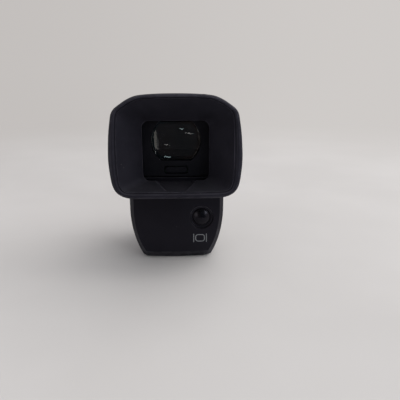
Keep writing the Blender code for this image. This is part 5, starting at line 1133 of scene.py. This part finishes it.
def grown(name, tree, values, material, body, rounding=0.0):
    """Plain mesh piece made by a geometry node tree, with its edges rounded."""
    thing = link(name, bpy.data.meshes.new(name))
    made = thing.modifiers.new("grow", "NODES")
    made.node_group = tree
    values["Material"] = material
    for item in tree.interface.items_tree:
        if item.in_out == "INPUT" and item.name in values:
            made[item.identifier] = values[item.name]
    ready = thing.evaluated_get(bpy.context.evaluated_depsgraph_get())
    mesh = bpy.data.meshes.new_from_object(ready)
    thing.modifiers.remove(made)
    thing.data = mesh
    mesh.name = name
    if rounding:
        shape = bmesh.new()
        shape.from_mesh(mesh)
        sharp = [edge for edge in shape.edges if edge.calc_face_angle(0) > math.radians(50)]
        bmesh.ops.bevel(shape, geom=sharp, offset=rounding, offset_type="OFFSET", segments=2,
                        profile=0.5, affect="EDGES", clamp_overlap=True)
        shape.to_mesh(mesh)
        shape.free()
    smooth(thing, 45)
    stand(thing, material, body)


def wheel_box(node):
    """Least and greatest X of a wheel about X, its middle and its radius."""
    low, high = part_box(node)
    return low.x, high.x, (low + high) / 2, (high.z - low.z) / 2


def make_wheel_trim():
    """Ribs and rings on the dial, and rings on the two hinge caps."""
    side = BODY_WIDTH / 2
    _, outside, middle, rim = wheel_box("diopter_dial")
    grown("dial_rim_ribs", WHEEL_RIBS,
          {"Centre": ((side + GAP + outside) / 2, middle.y, middle.z),
           "Rim Radius": rim - 0.08 * MM, "Rib Radius": 0.2 * MM,
           "Rib Length": outside - side - GAP - 0.1 * MM, "Count": 40},
          GLOSS, "dial")
    grown("dial_face_rings", RING_BEADS,
          {"Centre": (outside - 0.02 * MM, middle.y, middle.z), "Radius": 0.78 * rim,
           "Bead": 0.1 * MM, "Inner Share": 0.35, "Count": 2}, GLOSS, "dial")
    for way, name in ((-1, "left"), (1, "right")):
        left, right, middle, rim = wheel_box("hinge_cap_" + name)
        outside = left if way < 0 else right
        grown(name + "_cap_rings", RING_BEADS,
              {"Centre": (outside - way * 0.06 * MM, middle.y, middle.z),
               "Radius": 0.8 * rim, "Bead": 0.13 * MM, "Inner Share": 0.3, "Count": 2},
              SHELL, "base")


def make_rows():
    """Fingers of the plug's contacts, and ribs on the knob of the lock slider."""
    low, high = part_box("plug_contacts")
    count = 13
    step = (high.x - low.x - 0.6 * MM) / (count - 1)
    grown("plug_contact_fingers", BAR_ROW,
          {"First": (low.x + 0.3 * MM, (low.y + high.y) / 2, low.z - 0.02 * MM),
           "Step": (step, 0.0, 0.0), "Size": (0.34 * MM, high.y - low.y - 0.3 * MM, 0.14 * MM),
           "Count": count}, BRASS, "base", 0.03 * MM)
    rear, front = KNOB_Y
    low, high = KNOB_Z
    count = 6
    step = (front - rear - 0.9 * MM) / (count - 1)
    grown("lock_knob_ribs", BAR_ROW,
          {"First": (KNOB_X + 0.02 * MM, rear + 0.45 * MM, (low + high) / 2),
           "Step": (0.0, step, 0.0), "Size": (0.2 * MM, 0.32 * MM, high - low - 0.7 * MM),
           "Count": count}, SHELL, "slider", 0.06 * MM)


def make_dial_signs():
    """Minus and plus in ink beside the dial, on the right side of the tube."""
    _, _, middle, rim = wheel_box("diopter_dial")
    reach = rim + SIGN_GAP
    bars = []
    for side, width, height in ((-1, SIGN_LENGTH, MARK_LINE), (1, SIGN_LENGTH, MARK_LINE),
                                (1, MARK_LINE, SIGN_LENGTH)):
        outline = rounded_box(width, height, 0.06 * MM, middle.y + side * reach, middle.z, 3)
        bars.append(lofted("ink", [[(BODY_WIDTH / 2 + out, y, z) for y, z in outline]
                                   for out in (0.03 * MM, -0.03 * MM)]))
    stand(join_pieces("dial_plus_minus", bars), PRINT, "finder")


# ---------------------------------------------------------------- stage

BACK_LEFT = (0.545, 0.520, 0.505)
BACK_RIGHT = (0.620, 0.595, 0.578)
FLOOR_REACH = 12.0
FLOOR_DARK = (0.600, 0.578, 0.562)
FLOOR_LIGHT = (0.635, 0.613, 0.597)
# Distances between which the floor fades into the background
FLOOR_FADE = (0.10, 0.42)
AMBIENT_LOW = (0.14, 0.14, 0.15)
AMBIENT_HIGH = (0.58, 0.58, 0.60)
# Dim card that the lens reflects: x and z of its left side in mm, and its other edges
CARD_EDGE = ((-76, 98), (-60, 50), (-49, 28), (-44, 8), (-50, -13.5))
CARD_Y = -105 * MM
CARD_NEAR = -58 * MM
CARD_RIGHT = 68 * MM
DIM_LEFT = (0.125, 0.092, 0.090)
DIM_RIGHT = (0.040, 0.068, 0.088)
# Lamps: name, place, target, width, height or None for a square, watts, colour
AIM = (0.0, -0.01, 0.015)
SOFTBOXES = (
    ("ceiling_panel", (0.50, 0.12, 1.00), AIM, 1.3, None, 9.9, (1.0, 0.99, 0.98)),
    ("side_panel", (1.05, -0.05, 0.42), AIM, 0.6, 0.6, 1.8, (0.94, 0.97, 1.0)),
    ("front_window", (0.66, -0.78, 0.46), AIM, 0.34, 0.5, 1.75, (0.90, 0.97, 1.0)))
# Lamps seen in reflections alone, for the streaks and the crescent in the lens
GLINTS = (
    ("glint_strip", (13.6 * MM, CARD_Y + 2 * MM, 42.6 * MM), (0.0, -0.02, 0.027),
     11 * MM, 3 * MM, 0.0004, (0.72, 0.97, 1.0)),
    ("low_glint_strip", (-21 * MM, CARD_Y + 2 * MM, 5 * MM), (0.0, -0.02, 0.022),
     13 * MM, 1.6 * MM, 0.0002, (1.0, 1.0, 1.0)),
    ("left_glow", (-63 * MM, CARD_Y + 8 * MM, 12 * MM), (0.0, -0.025, 0.0265),
     26 * MM, 62 * MM, 0.0055, (1.0, 0.98, 0.86)))
# Camera: place, turn in degrees, and focal length and width of its film in mm
CAMERA_PLACE = (0.714 * MM, -154.449 * MM, 46.0 * MM)
CAMERA_TURN = (73.689, 0.0, -2.871)
CAMERA_LENS = 39.253
CAMERA_FILM = 36.0


def side_to_side(tree, direction):
    """Background colour for a direction from the object: darker left, lighter right."""
    unit = add(tree, "ShaderNodeVectorMath", {0: direction}, operation="NORMALIZE")
    share = spread_node(tree, axis_of(tree, unit.outputs[0], "X"), -0.45, 0.45)
    return mix_colour(tree, share, BACK_LEFT, BACK_RIGHT)


def make_floor():
    """Pale table of slightly mottled paper, which fades into the background far away."""
    low = CAD_BOX[0][2]
    corners = [(x * FLOOR_REACH, y * FLOOR_REACH, low)
               for x, y in ((-1, -1), (1, -1), (1, 1), (-1, 1))]
    floor = mesh_object("pale_table", corners, [(0, 1, 2, 3)], turn=False)
    made, tree, shader, place = start_material("pale_table_paper")
    fibre = noise_node(tree, place, 900.0, detail=4.0, roughness=0.6)
    cloud = noise_node(tree, place, 14.0, detail=3.0, roughness=0.5)
    paper = mix_colour(tree, spread_node(tree, cloud, 0.3, 0.7), FLOOR_DARK, FLOOR_LIGHT)
    fill(tree, shader, {"Base Color": paper, "Specular IOR Level": 0.1,
                        "Roughness": spread_node(tree, fibre, 0.2, 0.8, 0.7, 0.85)})
    raise_grain(tree, shader, fibre, 0.05, 0.02 * MM)
    glow = add(tree, "ShaderNodeEmission", {"Color": side_to_side(tree, place)})
    flat = add(tree, "ShaderNodeVectorMath", {0: place}, operation="LENGTH")
    mixed = add(tree, "ShaderNodeMixShader", {
        "Fac": spread_node(tree, flat.outputs["Value"], *FLOOR_FADE),
        1: shader.outputs["BSDF"], 2: glow.outputs["Emission"]})
    fill(tree, tree.nodes["Material Output"], {"Surface": mixed.outputs["Shader"]})
    paint(floor, made)


def make_dim_card():
    """Dim card before the eyepiece, seen only in reflections and through glass."""
    edge = [(x * MM, CARD_Y, z * MM) for x, z in CARD_EDGE]
    left, low, high = edge[-1][0], edge[-1][2], edge[0][2]
    near = [(left, CARD_NEAR, low), (CARD_RIGHT, CARD_NEAR, low)]
    far = [(CARD_RIGHT, CARD_Y, low), (CARD_RIGHT, CARD_Y, high)]
    count = len(edge)
    card = mesh_object("dim_card", edge + near + far,
                       [tuple(range(count)) + (count + 2, count + 3),
                        (count - 1, count, count + 1, count + 2)], turn=False)
    made, tree, shader, place = start_material("dim_card_tone")
    tree.nodes.remove(shader)
    cloud = noise_node(tree, place, 22.0, detail=3.0, roughness=0.5)
    across = math_node(tree, "MULTIPLY_ADD", cloud, 24 * MM, axis_of(tree, place, "X"))
    tint = mix_colour(tree, spread_node(tree, across, -30 * MM, 50 * MM), DIM_LEFT, DIM_RIGHT)
    glow = add(tree, "ShaderNodeEmission", {"Color": tint})
    fill(tree, tree.nodes["Material Output"], {"Surface": glow.outputs["Emission"]})
    paint(card, made)
    card.visible_camera = False
    card.visible_diffuse = False
    card.visible_shadow = False


def make_world():
    """Plain background for what is seen, and a soft even light on the object."""
    world = bpy.data.worlds.new("soft_room")
    SCENE.world = world
    world.use_nodes = True
    tree = world.node_tree
    tree.nodes.clear()
    place = tree.nodes.new("ShaderNodeTexCoord").outputs["Generated"]
    up = spread_node(tree, axis_of(tree, place, "Z"), -0.1, 0.95)
    lit, shown = (add(tree, "ShaderNodeBackground", {"Color": colour}).outputs["Background"]
                  for colour in (mix_colour(tree, up, AMBIENT_LOW, AMBIENT_HIGH),
                                 side_to_side(tree, place)))
    path = tree.nodes.new("ShaderNodeLightPath").outputs
    seen = path["Is Camera Ray"]
    for kind in ("Is Glossy Ray", "Is Transmission Ray"):
        seen = math_node(tree, "MAXIMUM", seen, path[kind])
    mixed = add(tree, "ShaderNodeMixShader", {"Fac": seen, 1: lit, 2: shown})
    add(tree, "ShaderNodeOutputWorld", {"Surface": mixed.outputs["Shader"]})


def softbox(name, place, target, width, height, power, colour):
    lamp = bpy.data.lights.new(name, "AREA")
    lamp.energy = power
    lamp.color = colour
    lamp.size = width
    if height:
        lamp.shape = "RECTANGLE"
        lamp.size_y = height
    holder = link(name, lamp)
    holder.location = place
    way = Vector(target) - Vector(place)
    holder.rotation_euler = way.to_track_quat("-Z", "Y").to_euler()
    return holder


def make_lights():
    for values in SOFTBOXES:
        softbox(*values)
    for values in GLINTS:
        softbox(*values).visible_diffuse = False


def make_camera():
    lens = bpy.data.cameras.new("view")
    lens.lens = CAMERA_LENS
    lens.sensor_width = CAMERA_FILM
    lens.clip_start = 0.01
    lens.clip_end = 200.0
    camera = link("view", lens)
    camera.location = CAMERA_PLACE
    camera.rotation_euler = [math.radians(angle) for angle in CAMERA_TURN]
    SCENE.camera = camera


# ---------------------------------------------------------------- making

paint_nodes()
make_eyecup()
make_lens()
make_panel()
make_button()
make_mark()
dress_nodes()
make_wheel_trim()
make_rows()
make_dial_signs()
make_floor()
make_dim_card()
make_world()
make_lights()
make_camera()
SCENE.view_settings.view_transform = "Standard"
